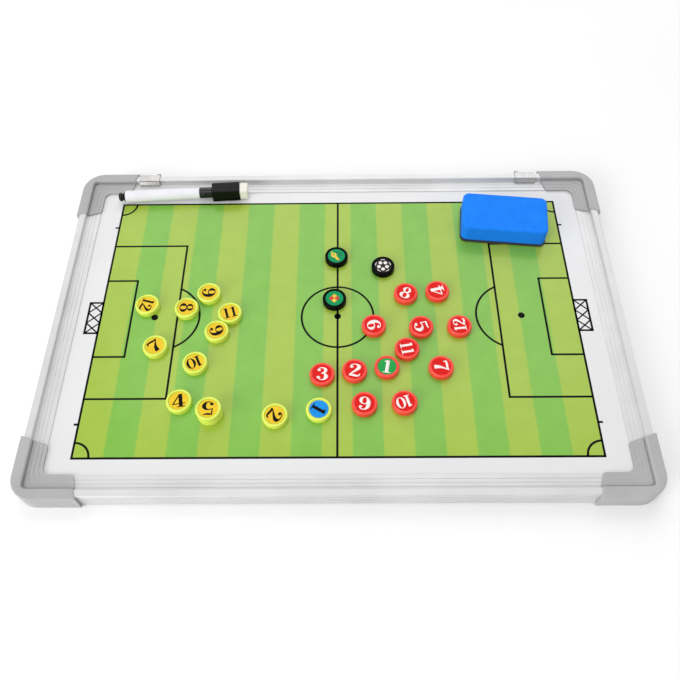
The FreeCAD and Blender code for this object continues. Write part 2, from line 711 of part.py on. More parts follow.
def make_marker_cap(neck_start, nib_end):
    # The cap's round neck and square block, its magnet and the felt that covers the magnet.
    block_start = neck_start + size.neck_length
    block_end = block_start + size.block_length
    half_side = size.block_side / 2
    cap = turn_along_pen("marker_cap", [
        (neck_start, 0),
        (neck_start, size.neck_diameter / 2),
        (block_start + size.block_radius, size.neck_diameter / 2),
        (block_start + size.block_radius, 0),
    ])
    square = rectangle(-half_side, -half_side, half_side, half_side)
    pad(cap, draw(cap, "marker_cap_block", "YZ_Plane", square, lift=block_start), size.block_length)
    round_edges(cap, size.block_radius, is_long_edge(size.block_length))
    bore = draw_circle(cap, "marker_cap_bore", "YZ_Plane", 0, 0, size.nose_diameter + size.pen_fit * 2,
                       lift=neck_start)
    pocket(cap, bore, nib_end + size.cap_bore_spare - neck_start, reverse=True)
    well = draw_circle(cap, "marker_cap_well", "YZ_Plane", 0, 0,
                       size.cap_magnet_diameter + size.magnet_fit * 2, lift=block_end)
    pocket(cap, well, size.cap_magnet_height + size.magnet_fit)
    put_on_pen("marker_cap", cap)
    magnet_radius = size.cap_magnet_diameter / 2
    put_on_pen("cap_magnet", turn_along_pen("cap_magnet", [
        (block_end - size.cap_magnet_height, 0),
        (block_end - size.cap_magnet_height, magnet_radius),
        (block_end, magnet_radius),
        (block_end, 0),
    ]))
    felt = new_body("cap_felt")
    half_felt = size.pen_felt_side / 2
    felt_square = rectangle(-half_felt, -half_felt, half_felt, half_felt)
    pad(felt, draw(felt, "cap_felt_face", "YZ_Plane", felt_square, lift=block_end), size.pen_felt_length)
    round_edges(felt, size.pen_felt_radius, is_long_edge(size.pen_felt_length))
    put_on_pen("cap_felt", felt)


def make_eraser():
    # A foam block on a felt pad, with a magnet strip let into the underside of the foam.
    half_span = size.eraser_length / 2
    half_width = size.eraser_width / 2
    felt = new_body("eraser_felt")
    plan = rectangle(-half_span, -half_width, half_span, half_width)
    pad(felt, draw(felt, "eraser_felt_plan", "XY_Plane", plan), size.eraser_felt_gauge)
    round_edges(felt, size.eraser_radius, is_upright)
    foam = new_body("eraser_foam")
    foam_span = half_span - size.foam_inset
    foam_width = half_width - size.foam_inset
    foam_plan = rectangle(-foam_span, -foam_width, foam_span, foam_width)
    pad(foam, draw(foam, "eraser_foam_plan", "XY_Plane", foam_plan), size.foam_height)
    round_edges(foam, size.eraser_radius - size.foam_inset, is_upright)
    round_edges(foam, size.foam_edge_radius, is_level_at(size.foam_height))
    slot_span = size.eraser_magnet_length / 2 + size.magnet_fit
    slot_width = size.eraser_magnet_width / 2 + size.magnet_fit
    slot_plan = rectangle(-slot_span, -slot_width, slot_span, slot_width)
    slot = draw(foam, "eraser_foam_slot", "XY_Plane", slot_plan)
    pocket(foam, slot, size.eraser_magnet_height + size.magnet_fit, reverse=True)
    magnet = new_body("eraser_magnet")
    strip_span = size.eraser_magnet_length / 2
    strip_width = size.eraser_magnet_width / 2
    strip_plan = rectangle(-strip_span, -strip_width, strip_span, strip_width)
    pad(magnet, draw(magnet, "eraser_magnet_plan", "XY_Plane", strip_plan), size.eraser_magnet_height)
    foam_level = rest_level + size.eraser_felt_gauge
    for piece, level in ((felt, rest_level), (foam, foam_level), (magnet, foam_level)):
        put(piece, half_length - size.eraser_side_inset, half_depth - size.eraser_top_inset, level,
            size.eraser_turn)
        pieces[piece.Name] = piece


def make_counter(label, x, y, level):
    # A round shell with a raised rim and a sunk disc, and a magnet in the hollow of its base.
    radius = size.counter_diameter / 2
    rim_inside = radius - size.counter_rim
    hollow = size.counter_magnet / 2 + size.magnet_fit
    hollow_top = size.counter_magnet_height + size.magnet_fit
    disc_level = size.counter_height - size.counter_recess
    shell = new_body(f"{label}_shell")
    profile = draw(shell, f"{label}_profile", "XZ_Plane", [
        (0, hollow_top),
        (hollow, hollow_top),
        (hollow, 0),
        (radius, 0),
        (radius, size.counter_height),
        (rim_inside, size.counter_height),
        (rim_inside, disc_level),
        (0, disc_level),
    ])
    revolve(shell, profile, "V_Axis")
    round_edges(shell, size.counter_rounding, is_ring(size.counter_height, radius))
    magnet = doc.addObject("Part::Cylinder", f"{label}_magnet")
    magnet.setExpression("Radius", (size.counter_magnet / 2).text)
    magnet.setExpression("Height", size.counter_magnet_height.text)
    put(shell, x, y, level)
    put(magnet, x, y, level)
    pieces[label] = group(label, [shell, magnet])


def group(label, members):
    together = doc.addObject("Part::Compound", label)
    together.Links = members
    return together


rails = [
    ("rail_top", size.board_length, zero, half_depth, 0),
    ("rail_bottom", size.board_length, zero, -half_depth, 180),
    ("rail_left", size.board_depth, -half_length, zero, 90),
    ("rail_right", size.board_depth, half_length, zero, -90),
]
for label, span, x, y, turn in rails:
    make_rail(label, span - rail_end * 2, x, y, turn)

corners = [
    ("corner_cap_top_right", half_length, half_depth, 0),
    ("corner_cap_top_left", -half_length, half_depth, 90),
    ("corner_cap_bottom_left", -half_length, -half_depth, 180),
    ("corner_cap_bottom_right", half_length, -half_depth, -90),
]
for label, x, y, turn in corners:
    make_corner_cap(label, x, y, turn)

make_panel("backing_sheet", size.backing_gauge, panel_under)
make_panel("core_panel", size.core_gauge, panel_under + size.backing_gauge)
make_panel("writing_sheet", size.sheet_gauge, sheet_level - size.sheet_gauge)

screws = []
for side in (1, -1):
    for end in (1, -1):
        on_long_rail = (half_length - size.screw_place) * side, (half_depth - chamber_middle) * end
        on_short_rail = (half_length - chamber_middle) * side, (half_depth - size.screw_place) * end
        for x, y in (on_long_rail, on_short_rail):
            screws.append(make_screw(f"corner_screw_{len(screws) + 1}", x, y))
pieces["corner_screws"] = group("corner_screws", screws)

make_clip("hanger_clip_left", size.clip_left_inset - half_length, 1)
make_clip("hanger_clip_right", half_length - size.clip_right_inset, -1)
make_marker()
make_eraser()

for label in counter_places:
    make_counter(label, getattr(size, f"{label}_x"), getattr(size, f"{label}_y"), rest_level)
neighbour_step = size.counter_diameter + size.neighbour_gap
make_counter("yellow_counter_06", size.yellow_counter_11_x + neighbour_step * size.neighbour_run,
             size.yellow_counter_11_y + neighbour_step * size.neighbour_rise, rest_level)
stack_level = rest_level + size.counter_height + size.print_gap
make_counter("yellow_counter_05", size.yellow_counter_03_x, size.yellow_counter_03_y, stack_level)

doc.recompute()
for item in doc.Objects:
    if "Invalid" in item.State or "Error" in item.State:
        raise RuntimeError(f"{item.Name} failed: {item.State}")
os.makedirs("parts", exist_ok=True)
for label, piece in pieces.items():
    shape = piece.Shape
    if shape.isNull() or not shape.isValid():
        raise RuntimeError(f"{label} has no valid shape")
    shape.exportStep(f"parts/{label}.step")
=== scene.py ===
import bmesh
import bpy
import numpy as np
from mathutils import Matrix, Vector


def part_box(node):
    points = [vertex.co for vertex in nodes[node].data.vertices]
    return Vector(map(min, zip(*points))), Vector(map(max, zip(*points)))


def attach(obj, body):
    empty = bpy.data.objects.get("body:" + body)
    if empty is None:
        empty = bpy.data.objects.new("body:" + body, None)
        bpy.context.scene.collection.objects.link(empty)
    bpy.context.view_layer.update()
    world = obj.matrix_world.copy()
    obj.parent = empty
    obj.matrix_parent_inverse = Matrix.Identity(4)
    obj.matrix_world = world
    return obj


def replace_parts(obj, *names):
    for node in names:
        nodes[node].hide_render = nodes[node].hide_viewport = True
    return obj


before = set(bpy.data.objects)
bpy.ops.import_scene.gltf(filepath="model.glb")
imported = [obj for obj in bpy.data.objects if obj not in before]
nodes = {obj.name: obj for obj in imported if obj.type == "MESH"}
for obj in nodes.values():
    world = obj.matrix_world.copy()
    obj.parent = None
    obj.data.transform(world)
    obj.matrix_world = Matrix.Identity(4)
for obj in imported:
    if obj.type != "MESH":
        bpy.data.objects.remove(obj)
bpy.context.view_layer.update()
mm = 0.001  # settings are in millimetres, Blender works in metres
weld = 0.0002  # points closer than this, in mm, become one
noiseMiddle = {"From Min": 0.3, "From Max": 0.7}  # a noise seldom leaves this range


def linear(hexColour):  # sRGB to linear light, by the standard's power curve
    srgb = np.array([int(hexColour[i:i + 2], 16) for i in (1, 3, 5)]) / 255
    light = np.where(srgb <= 0.04045, srgb / 12.92, ((srgb + 0.055) / 1.055) ** 2.4)
    return (*light.tolist(), 1.0)


def addNode(tree, kind, inputs, **attributes):  # one node, its settings, its values and its links
    node = tree.nodes.new(kind)
    for key, value in attributes.items():
        setattr(node, key, value)
    for key, value in inputs.items():
        if isinstance(value, bpy.types.NodeSocket):
            tree.links.new(value, node.inputs[key])
        else:
            node.inputs[key].default_value = value
    return node


def startMaterial(name):  # an empty material and the coordinates of the piece that wears it
    material = bpy.data.materials.new(name)
    material.use_nodes = True
    tree = material.node_tree
    tree.nodes.clear()
    return material, tree, addNode(tree, "ShaderNodeTexCoord", {}).outputs["Object"]


# Noise whose blotches are about size mm wide, and longer along an axis where stretch is above one.
def grain(tree, place, size, detail=2.0, stretch=(1, 1, 1)):
    scale = [1 / (size * mm * longer) for longer in stretch]
    scaled = addNode(tree, "ShaderNodeMapping", {"Vector": place, "Scale": scale})
    noise = addNode(tree, "ShaderNodeTexNoise", {
        "Vector": scaled.outputs["Vector"], "Scale": 1.0, "Detail": detail, "Roughness": 0.55})
    return noise.outputs["Fac"]


# Ends a material. Values go on the shader's own sockets. Relief is a pattern, its depth in mm and its
# strength, shades are a pattern and the two colours it fades between, roughness is a pattern and its range.
def endMaterial(tree, values, relief, shades=None, roughness=None):
    inputs = dict(values)
    if shades:
        pattern, first, second = shades
        fade = addNode(tree, "ShaderNodeMapRange", {"Value": pattern, **noiseMiddle}).outputs["Result"]
        ends = {"A": linear(first), "B": linear(second)}
        mixed = addNode(tree, "ShaderNodeMix", {"Factor": fade, **ends}, data_type="RGBA")
        inputs["Base Color"] = mixed.outputs[2]  # a Mix node's third output is its colour
    if roughness:
        pattern, low, high = roughness
        ranged = addNode(tree, "ShaderNodeMapRange", {
            "Value": pattern, "To Min": low, "To Max": high, **noiseMiddle})
        inputs["Roughness"] = ranged.outputs["Result"]
    pattern, depth, strength = relief
    bump = addNode(tree, "ShaderNodeBump", {"Height": pattern, "Distance": depth * mm, "Strength": strength})
    inputs["Normal"] = bump.outputs["Normal"]
    shader = addNode(tree, "ShaderNodeBsdfPrincipled", inputs)
    addNode(tree, "ShaderNodeOutputMaterial", {"Surface": shader.outputs["BSDF"]})


# Satin anodised aluminium: extruded, so drawn lines run along the rail and stretch its highlights, and the
# clouded oxide on it scatters light, so it looks only half metallic. Real draw lines are about 0.1 mm
# apart; they are drawn at 0.9 mm so that they show.
def satinAluminium(name, stretch):
    material, tree, place = startMaterial(name)
    lines = grain(tree, place, 0.9, stretch=stretch)
    bloom = grain(tree, place, 40.0)
    endMaterial(tree, {"Metallic": 0.45}, relief=(lines, 0.02, 0.25),
                shades=(bloom, "#DCDCDC", "#D2D2D2"), roughness=(lines, 0.42, 0.56))
    return material


# Moulded ABS: a spark-eroded mould leaves a fine dull grain, drawn at 0.7 mm so that it shows.
def greyMoulding():
    material, tree, place = startMaterial("moulded grey ABS")
    pores = grain(tree, place, 0.7, 3.0)
    flow = grain(tree, place, 25.0)
    endMaterial(tree, {"IOR": 1.53}, relief=(pores, 0.03, 0.35),
                shades=(flow, "#AFAFAF", "#A6A6A6"), roughness=(pores, 0.42, 0.58))
    return material


# Baked white lacquer on steel: glossy and hard, with the faint haze of wiped marker ink.
def whiteLacquer():
    material, tree, place = startMaterial("baked white lacquer")
    haze = grain(tree, place, 45.0, 4.0, (1.6, 1, 1))
    peel = grain(tree, place, 2.5)
    endMaterial(tree, {"IOR": 1.5}, relief=(peel, 0.01, 0.08),
                shades=(haze, "#E2E2E3", "#DDDDDE"), roughness=(haze, 0.17, 0.26))
    return material


# Screen-printed pitch: two greens in bands, a soft edge where they meet, slight mottling of the ink.
def pitchInk(stripe):
    material, tree, place = startMaterial("screen-printed greens under lacquer")
    along = addNode(tree, "ShaderNodeSeparateXYZ", {"Vector": place}).outputs["X"]
    bands = addNode(tree, "ShaderNodeMath", {0: along, 1: 1 / (stripe * mm)}, operation="MULTIPLY")
    fold = addNode(tree, "ShaderNodeMath", {0: bands.outputs[0], 1: 1.0}, operation="PINGPONG")
    edge = addNode(tree, "ShaderNodeMapRange", {
        "Value": fold.outputs[0], "From Min": 0.46, "From Max": 0.54}, interpolation_type="SMOOTHSTEP")
    blots = grain(tree, place, 14.0, 4.0)
    mottle = addNode(tree, "ShaderNodeMapRange", {"Value": blots, **noiseMiddle}).outputs["Result"]
    greens = []
    for first, second in (("#A0BD40", "#9AB83A"), ("#7DB943", "#76B33C")):
        ends = {"A": linear(first), "B": linear(second)}
        green = addNode(tree, "ShaderNodeMix", {"Factor": mottle, **ends}, data_type="RGBA")
        greens.append(green.outputs[2])
    ends = {"A": greens[0], "B": greens[1]}
    banded = addNode(tree, "ShaderNodeMix", {"Factor": edge.outputs["Result"], **ends}, data_type="RGBA")
    haze = grain(tree, place, 45.0, 4.0)
    peel = grain(tree, place, 2.5)
    endMaterial(tree, {"Base Color": banded.outputs[2], "IOR": 1.5}, relief=(peel, 0.01, 0.08),
                roughness=(haze, 0.18, 0.27))
    return material


# Printed or moulded colour with a little unevenness. Blotch and peel are the sizes, in mm, of its clouds
# and of its fine relief, whose depth is in mm too.
def evenColour(name, colour, shade, roughness, blotch=6.0, peel=1.2, depth=0.01, gloss=0.5, uneven=0.06):
    material, tree, place = startMaterial(name)
    cloud = grain(tree, place, blotch, 3.0)
    stipple = grain(tree, place, peel)
    endMaterial(tree, {"IOR": 1.5, "Specular IOR Level": gloss}, relief=(stipple, depth, 0.2),
                shades=(cloud, colour, shade), roughness=(cloud, roughness - uneven, roughness + uneven))
    return material


# Plated steel: smooth and bright, with handling haze that dulls it in patches.
def platedSteel(name, colour, shade, roughness, metallic, dulling=0.1):
    material, tree, place = startMaterial(name)
    haze = grain(tree, place, 5.0, 4.0)
    ripple = grain(tree, place, 3.0)
    endMaterial(tree, {"Metallic": metallic}, relief=(ripple, 0.01, 0.1),
                shades=(haze, colour, shade), roughness=(haze, roughness, roughness + dulling))
    return material


# Closed-cell foam: dull skin with small open cells, about 0.5 mm, drawn at 0.9 mm so that they show.
def foamSkin():
    material, tree, place = startMaterial("closed-cell blue foam")
    cells = addNode(tree, "ShaderNodeTexVoronoi", {"Vector": place, "Scale": 1 / (0.9 * mm)})
    cloud = grain(tree, place, 9.0, 4.0)
    endMaterial(tree, {"Roughness": 0.82, "IOR": 1.45, "Specular IOR Level": 0.3},
                relief=(cells.outputs["Distance"], 0.12, 0.5), shades=(cloud, "#1184FB", "#0C79F0"))
    return material


# Pressed felt: matted fibres, fuzzy to the eye, so dull with a soft sheen at the edges.
def pressedFelt(name, colour, shade):
    material, tree, place = startMaterial(name)
    fibres = grain(tree, place, 0.8, 5.0, (1, 2.4, 1))
    endMaterial(tree, {"Roughness": 0.95, "Sheen Weight": 0.3}, relief=(fibres, 0.2, 0.6),
                shades=(fibres, colour, shade))
    return material


finishes = {
    "railAlongX": satinAluminium("satin anodised aluminium, drawn along X", (90, 1, 1)),
    "railAlongY": satinAluminium("satin anodised aluminium, drawn along Y", (1, 90, 1)),
    "moulding": greyMoulding(),
    "lacquer": whiteLacquer(),
    "brightPlate": platedSteel("bright nickel plate", "#BFBDBC", "#B5B3B2", 0.22, 0.7),
    "zinc": platedSteel("bright zinc plate", "#C9CACB", "#AEB1B3", 0.26, 0.9),
    # Coated, raw and sintered: dull and a little rough to the eye.
    "backing": evenColour("thin grey coating on steel", "#C6C7C9", "#C1C2C4", 0.45, 18.0, 2.0),
    "fibreboard": evenColour("raw fibreboard", "#A98A63", "#8F7350", 0.85, 1.5, 0.8, 0.08),
    "ferrite": evenColour("sintered ferrite", "#2B2B2D", "#1E1E20", 0.6, 2.0, 0.5, 0.03),
    "inkFibre": evenColour("inked polyester fibre", "#0C0C0F", "#17171B", 0.9, 0.8, 0.5, 0.06),
    # Plastics from smooth moulds: a soft gloss, faintly clouded where the plastic flowed.
    "whiteShell": evenColour("gloss white polypropylene", "#EAE8EF", "#E3E1E8", 0.3, 12.0),
    "blackShell": evenColour("gloss black ABS", "#030404", "#060707", 0.2, gloss=0.06),
    "blackCap": evenColour("gloss black polypropylene", "#0C0D0C", "#121312", 0.2, gloss=0.12),
    "blackPolish": evenColour("polished black polypropylene", "#050606", "#0A0B0C", 0.14),
    "redShell": evenColour("moulded red polystyrene", "#FA4A3C", "#F24034", 0.3),
    "yellowShell": evenColour("moulded yellow-green polystyrene", "#E3F161", "#DAE956", 0.3),
    # Label films: colour under a matt coat, so the highlights are weak.
    "redLabel": evenColour("red label film", "#DE1816", "#D41212", 0.4, gloss=0.12),
    "yellowLabel": evenColour("golden label film", "#EFC92A", "#E6BC22", 0.4, gloss=0.2),
    "greenLabel": evenColour("green label film", "#12A44B", "#0D9843", 0.4, gloss=0.2),
    "blueLabel": evenColour("blue label film", "#0A94EA", "#0688DE", 0.4, gloss=0.2),
    "tealLabel": evenColour("teal label film", "#069A5C", "#058C52", 0.4, gloss=0.1),
    "blackLabel": evenColour("black label film", "#08090B", "#0F1012", 0.4, gloss=0.2),
    # Screen inks: laid thick through a mesh, so dense, with a faint stipple.
    "blackInk": evenColour("black screen ink", "#050605", "#0B0C0A", 0.5, gloss=0.12),
    "whiteInk": evenColour("white screen ink", "#FFF7F4", "#F6ECE8", 0.4),
    "yellowInk": evenColour("yellow screen ink", "#FBD548", "#F3C93A", 0.4),
    "redInk": evenColour("red screen ink", "#DE3A2C", "#D23024", 0.4),
    "darkGreenInk": evenColour("dark green screen ink", "#0E6B45", "#0B5F3C", 0.4),
    "foam": foamSkin(),
    "darkFelt": pressedFelt("dark pressed felt", "#26272C", "#15161A"),
    "whiteFelt": pressedFelt("white pressed felt", "#F5F2EA", "#E4DFD3"),
}
print("finishes made:", len(finishes))


def dress(names, finish):  # a CAD node keeps its shape and gets a finish
    for name in names:
        for slot in nodes[name].material_slots:
            slot.material = finishes[finish]


dress(["rail_top", "rail_bottom"], "railAlongX")
dress(["rail_left", "rail_right"], "railAlongY")
dress(["writing_sheet"], "lacquer")
dress(["core_panel"], "fibreboard")
dress(["backing_sheet"], "backing")
dress(["corner_screws"], "zinc")
dress(["ink_reservoir"], "inkFibre")
dress(["cap_magnet", "eraser_magnet"], "ferrite")
print("CAD nodes dressed")


# Quads between neighbouring rows and columns of a grid of points. A wrapped grid also joins its last
# column to its first.
def gridFaces(rows, columns, wrap):
    row, column = np.meshgrid(np.arange(rows - 1), np.arange(columns - (not wrap)), indexing="ij")
    following = (column + 1) % columns
    corners = [row * columns + column, row * columns + following,
               (row + 1) * columns + following, (row + 1) * columns + column]
    return np.stack(corners, -1).reshape(-1, 4)


# Rings of x and y, each at its own height, joined into one skin.
def stackRings(rings, heights):
    grid = np.stack([np.column_stack([ring, np.full(len(ring), z)]) for ring, z in zip(rings, heights)])
    return grid.reshape(-1, 3), gridFaces(len(rings), len(rings[0]), True)


# An open outline whose corners are arcs: each corner is x, y and the radius of the arc that touches
# both of its sides.
def softCorners(corners, steps=6):
    corners = np.array(corners, float)
    points = corners[:, :2]
    runs = [points[:1]]
    for before, here, after, radius in zip(points, points[1:], points[2:], corners[1:, 2]):
        if radius == 0:
            runs.append(here[None])
            continue
        back = (before - here) / np.linalg.norm(before - here)
        ahead = (after - here) / np.linalg.norm(after - here)
        half = np.arccos(np.clip(back @ ahead, -1, 1)) / 2
        centre = here + (back + ahead) / np.linalg.norm(back + ahead) * radius / np.sin(half)
        start = here + back * radius / np.tan(half) - centre
        end = here + ahead * radius / np.tan(half) - centre
        share = np.linspace(0, 1, steps)[:, None]
        sweep = np.pi - 2 * half
        turning = np.sin((1 - share) * sweep) * start + np.sin(share * sweep) * end
        runs.append(centre + turning / np.sin(sweep))
    return np.concatenate(runs + [points[-1:]])


# A turned shape: radius and height of the profile, carried round the z axis.
def lathe(profile, segments):
    angle = np.linspace(0, 2 * np.pi, segments, endpoint=False)
    radius, height = profile[:, :1], profile[:, 1:2]
    grid = np.stack(np.broadcast_arrays(radius * np.cos(angle), radius * np.sin(angle), height), -1)
    return grid.reshape(-1, 3), gridFaces(len(profile), segments, True)


# A rounded rectangle, anticlockwise: four quarter circles joined by straight sides.
def roundedRectangle(halfX, halfY, radius, steps=8, sideSteps=12):
    signs = np.array([(1, 1), (-1, 1), (-1, -1), (1, -1)])
    centres = signs * (halfX - radius, halfY - radius)
    angles = np.linspace(0, np.pi / 2, steps) + np.arange(4)[:, None] * np.pi / 2
    arcs = centres[:, None] + radius * np.stack([np.cos(angles), np.sin(angles)], -1)
    share = np.linspace(0, 1, sideSteps + 2)[1:-1, None]
    runs = []
    for here, after in zip(arcs, np.roll(arcs, -1, 0)):
        runs += [here, here[-1] * (1 - share) + after[0] * share]
    return np.concatenate(runs)


# A block with a rounded plan: the profile gives how far the plan is drawn in at each height, and the
# plan shrinks with it until its two long sides meet.
def softBlock(halfX, halfY, radius, profile):
    inset = np.minimum(profile[:, 0], min(halfX, halfY))
    rings = [roundedRectangle(halfX - i, halfY - i, max(radius - i, 0)) for i in inset]
    return stackRings(rings, profile[:, 1])


# A flat band of ink or metal: a rectangle as wide as the band is at each point, carried along the path.
def band(path, width, low, high, closed=False):
    path = np.asarray(path, float)
    width = np.broadcast_to(np.asarray(width, float), len(path))
    ahead = np.roll(path, -1, 0) - np.roll(path, 1, 0) if closed else np.gradient(path, axis=0)
    ahead /= np.linalg.norm(ahead, axis=1)[:, None]
    side = np.column_stack([-ahead[:, 1], ahead[:, 0]]) * width[:, None] / 2
    left, right = path + side, path - side
    levels = ((left, low), (left, high), (right, high), (right, low))
    grid = np.stack([np.column_stack([edge, np.full(len(edge), z)]) for edge, z in levels], 1)
    if closed:
        grid = np.concatenate([grid, grid[:1]])
    faces = gridFaces(len(grid), 4, True)
    if not closed:
        last = 4 * (len(grid) - 1)
        faces = np.concatenate([faces, [[3, 2, 1, 0], [last, last + 1, last + 2, last + 3]]])
    return grid.reshape(-1, 3), faces


# A flat patch of ink: an anticlockwise outline filled towards its middle, with a wall round its edge.
def patch(outline, low, high):
    outline = np.asarray(outline, float)
    middle = np.broadcast_to(outline.mean(0), outline.shape)
    return stackRings((middle, outline, outline, middle), (low, low, high, high))


def arc(x, y, radius, start, end, steps=48):  # points on a circle between two angles in degrees
    angle = np.radians(np.linspace(start, end, steps))
    return np.column_stack([x + radius * np.cos(angle), y + radius * np.sin(angle)])


def disc(x, y, radius, steps=32):  # points round a whole circle
    return arc(x, y, radius, 0, 360 - 360 / steps, steps)


# A curve through marks of x, y and width: a cubic between each two, with the slope at a mark half the
# step between its neighbours.
def stroke(marks, steps=8):
    marks = np.array(marks, float)
    row = np.concatenate([2 * marks[:1] - marks[1:2], marks, 2 * marks[-1:] - marks[-2:-1]])
    a, b, c, d = row[:-3], row[1:-2], row[2:-1], row[3:]
    t = np.linspace(0, 1, steps, endpoint=False)[:, None, None]
    squared = (2 * a - 5 * b + 4 * c - d) * t ** 2 / 2
    cubed = (3 * b - a - 3 * c + d) * t ** 3 / 2
    curve = b + (c - a) * t / 2 + squared + cubed
    return np.concatenate([curve.transpose(1, 0, 2).reshape(-1, 3), marks[-1:]])


def turned(points, degrees, x=0.0, y=0.0, z=0.0):  # turns points about the z axis, then moves them
    angle = np.radians(degrees)
    cos, sin = np.cos(angle), np.sin(angle)
    return np.column_stack([x + points[:, 0] * cos - points[:, 1] * sin,
                            y + points[:, 0] * sin + points[:, 1] * cos, z + points[:, 2]])


def finishPiece(name, mesh, body, materials):  # gives a mesh its finishes and ties it to its body
    for material in materials:
        mesh.materials.append(finishes[material])
    piece = bpy.data.objects.new(name, mesh)
    bpy.context.scene.collection.objects.link(piece)
    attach(piece, body)
    return piece


# Puts arrays of points and quads into one mesh, and closes seams and poles. A part's third entry, where
# it has one, says which of the materials its faces have.
def addPiece(name, parts, body, materials, weighted=True):
    starts = np.cumsum([0] + [len(part[0]) for part in parts])
    points = np.concatenate([part[0] for part in parts]) * mm
    faces = np.concatenate([part[1] + start for part, start in zip(parts, starts)])
    picks = [part[2] if len(part) > 2 else 0 for part in parts]
    finish = np.concatenate([np.broadcast_to(pick, len(part[1])) for pick, part in zip(picks, parts)])
    mesh = bpy.data.meshes.new(name)
    mesh.from_pydata(points.tolist(), [], faces.tolist())
    mesh.polygons.foreach_set("material_index", finish.astype(np.int32))
    mesh.polygons.foreach_set("use_smooth", np.ones(len(faces), bool))
    work = bmesh.new()
    work.from_mesh(mesh)
    bmesh.ops.remove_doubles(work, verts=work.verts, dist=weld * mm)
    work.to_mesh(mesh)
    work.free()
    piece = finishPiece(name, mesh, body, materials)
    if weighted:  # flat faces stay flat beside small rounded edges
        piece.modifiers.new("face weights", "WEIGHTED_NORMAL")
    return piece


def replaceNode(node, how, parts, body, materials):  # a new piece stands in for a CAD node
    piece = addPiece(node + "_" + how, parts, body, materials)
    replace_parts(piece, node)
    return piece


# The corner caps keep the shape of their solids, apart from a rib inside each cap that breaks through
# the rounded corner: points outside the corner's arc are drawn back onto it and shaded as the arc is.
# The loose triangles of the solid are joined where their points meet.
capCorner = {
    "radius": 18.0,
    "slack": 0.01,  # points less than this outside the arc stay
    "upright": 0.5,  # walls have normals that rise less than this
}


def moulded(name):
    low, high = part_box(name)
    outer = np.array([low.x if high.x < 0 else high.x, low.y if high.y < 0 else high.y]) / mm
    radius = capCorner["radius"]
    middle = outer - np.sign(outer) * radius
    solid = nodes[name].data
    points = np.empty((len(solid.vertices), 3))
    solid.vertices.foreach_get("co", points.ravel())
    normals = np.empty((len(solid.loops), 3))
    solid.corner_normals.foreach_get("vector", normals.ravel())
    owner = np.empty(len(solid.loops), np.int32)
    solid.loops.foreach_get("vertex_index", owner)
    away = points[:, :2] / mm - middle
    reach = np.linalg.norm(away, axis=1)
    proud = (away * np.sign(outer) > 0).all(1) & (reach > radius + capCorner["slack"])
    points[proud, :2] = (middle + away[proud] * (radius / reach[proud])[:, None]) * mm
    upright = np.abs(normals[:, 2]).reshape(-1, 3).max(1) < capCorner["upright"]
    walls = np.repeat(proud[owner.reshape(-1, 3)].any(1) & upright, 3)
    radial = np.column_stack([away / reach[:, None], np.zeros(len(away))])
    normals[walls] = radial[owner[walls]]
    places, joined = np.unique(points, axis=0, return_inverse=True)
    triangles = joined.ravel()[owner].reshape(-1, 3)
    whole = (triangles != np.roll(triangles, 1, 1)).all(1)
    mesh = bpy.data.meshes.new(name)
    mesh.from_pydata(places.tolist(), [], triangles[whole].tolist())
    mesh.polygons.foreach_set("use_smooth", np.ones(whole.sum(), bool))
    mesh.normals_split_custom_set(normals.reshape(-1, 3, 3)[whole].reshape(-1, 3).tolist())
    print(name, "points drawn back:", int(proud.sum()), "points joined:", len(points) - len(places))
    return finishPiece(name + "_moulded", mesh, "board", ["moulding"])


for name in [name for name in nodes if name.startswith("corner_cap")]:
    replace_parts(moulded(name), name)
print("corner caps made")

# The hanger clips: bent strips round the top rail's ridge, each with a flared leaf at its inner end and
# an eye in its tail. Points of the front are how far in from the rail's outer face and below the crest.
clip = {
    "length": 17.4, "gauge": 0.5, "bend": 0.5, "stepBend": 0.12, "foot": 3.4, "eye": 3.0, "eyeFrom": 5.8,
    "front": [(9.25, 4.1), (8.55, 4.1), (8.4, 3.15), (6.75, 1.25), (6.5, 0.0)],
    "earLength": 5.5, "earFlare": 1.8, "earFoot": 5.1, "earHeight": 4.2, "earTip": 0.1,
}
clipShifts = {"hanger_clip_left": -0.2, "hanger_clip_right": -0.5}  # along the rail, from the solid's middle
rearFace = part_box("rail_top")[1].y / mm


# A plate with a round hole: rays from the hole's middle meet the plate's edge, and each ray's two
# points are carried from the underside to the top. A ray's slope is never taken as less than flattest.
def eyePlate(low, high, eye, radius, bottom, top, steps=64, flattest=1e-9):
    low, high, eye = np.array(low), np.array(high), np.array(eye)
    corners = np.array([low, (high[0], low[1]), high, (low[0], high[1])]) - eye
    turns = np.linspace(-np.pi, np.pi, steps, endpoint=False)
    angle = np.sort(np.concatenate([turns, np.arctan2(corners[:, 1], corners[:, 0])]))
    ray = np.column_stack([np.cos(angle), np.sin(angle)])
    room = np.where(ray > 0, high - eye, eye - low) / np.maximum(np.abs(ray), flattest)
    edge = eye + ray * room.min(1)[:, None]
    hole = eye + ray * radius
    return stackRings((hole, edge, edge, hole, hole), (bottom, bottom, top, top, bottom))


# The strip's middle line across the rail, from its toe round to the tail, carried along the rail.
def bentStrip(crest, base, back, left, right):
    front = [(rearFace - inward, crest - drop, clip["stepBend"]) for inward, drop in clip["front"]]
    rear = [(back, crest, clip["bend"]), (back, base, clip["bend"]), (back - clip["foot"], base, 0)]
    points, faces = band(softCorners(front + rear), clip["gauge"], left, right)
    return points[:, [2, 0, 1]], faces


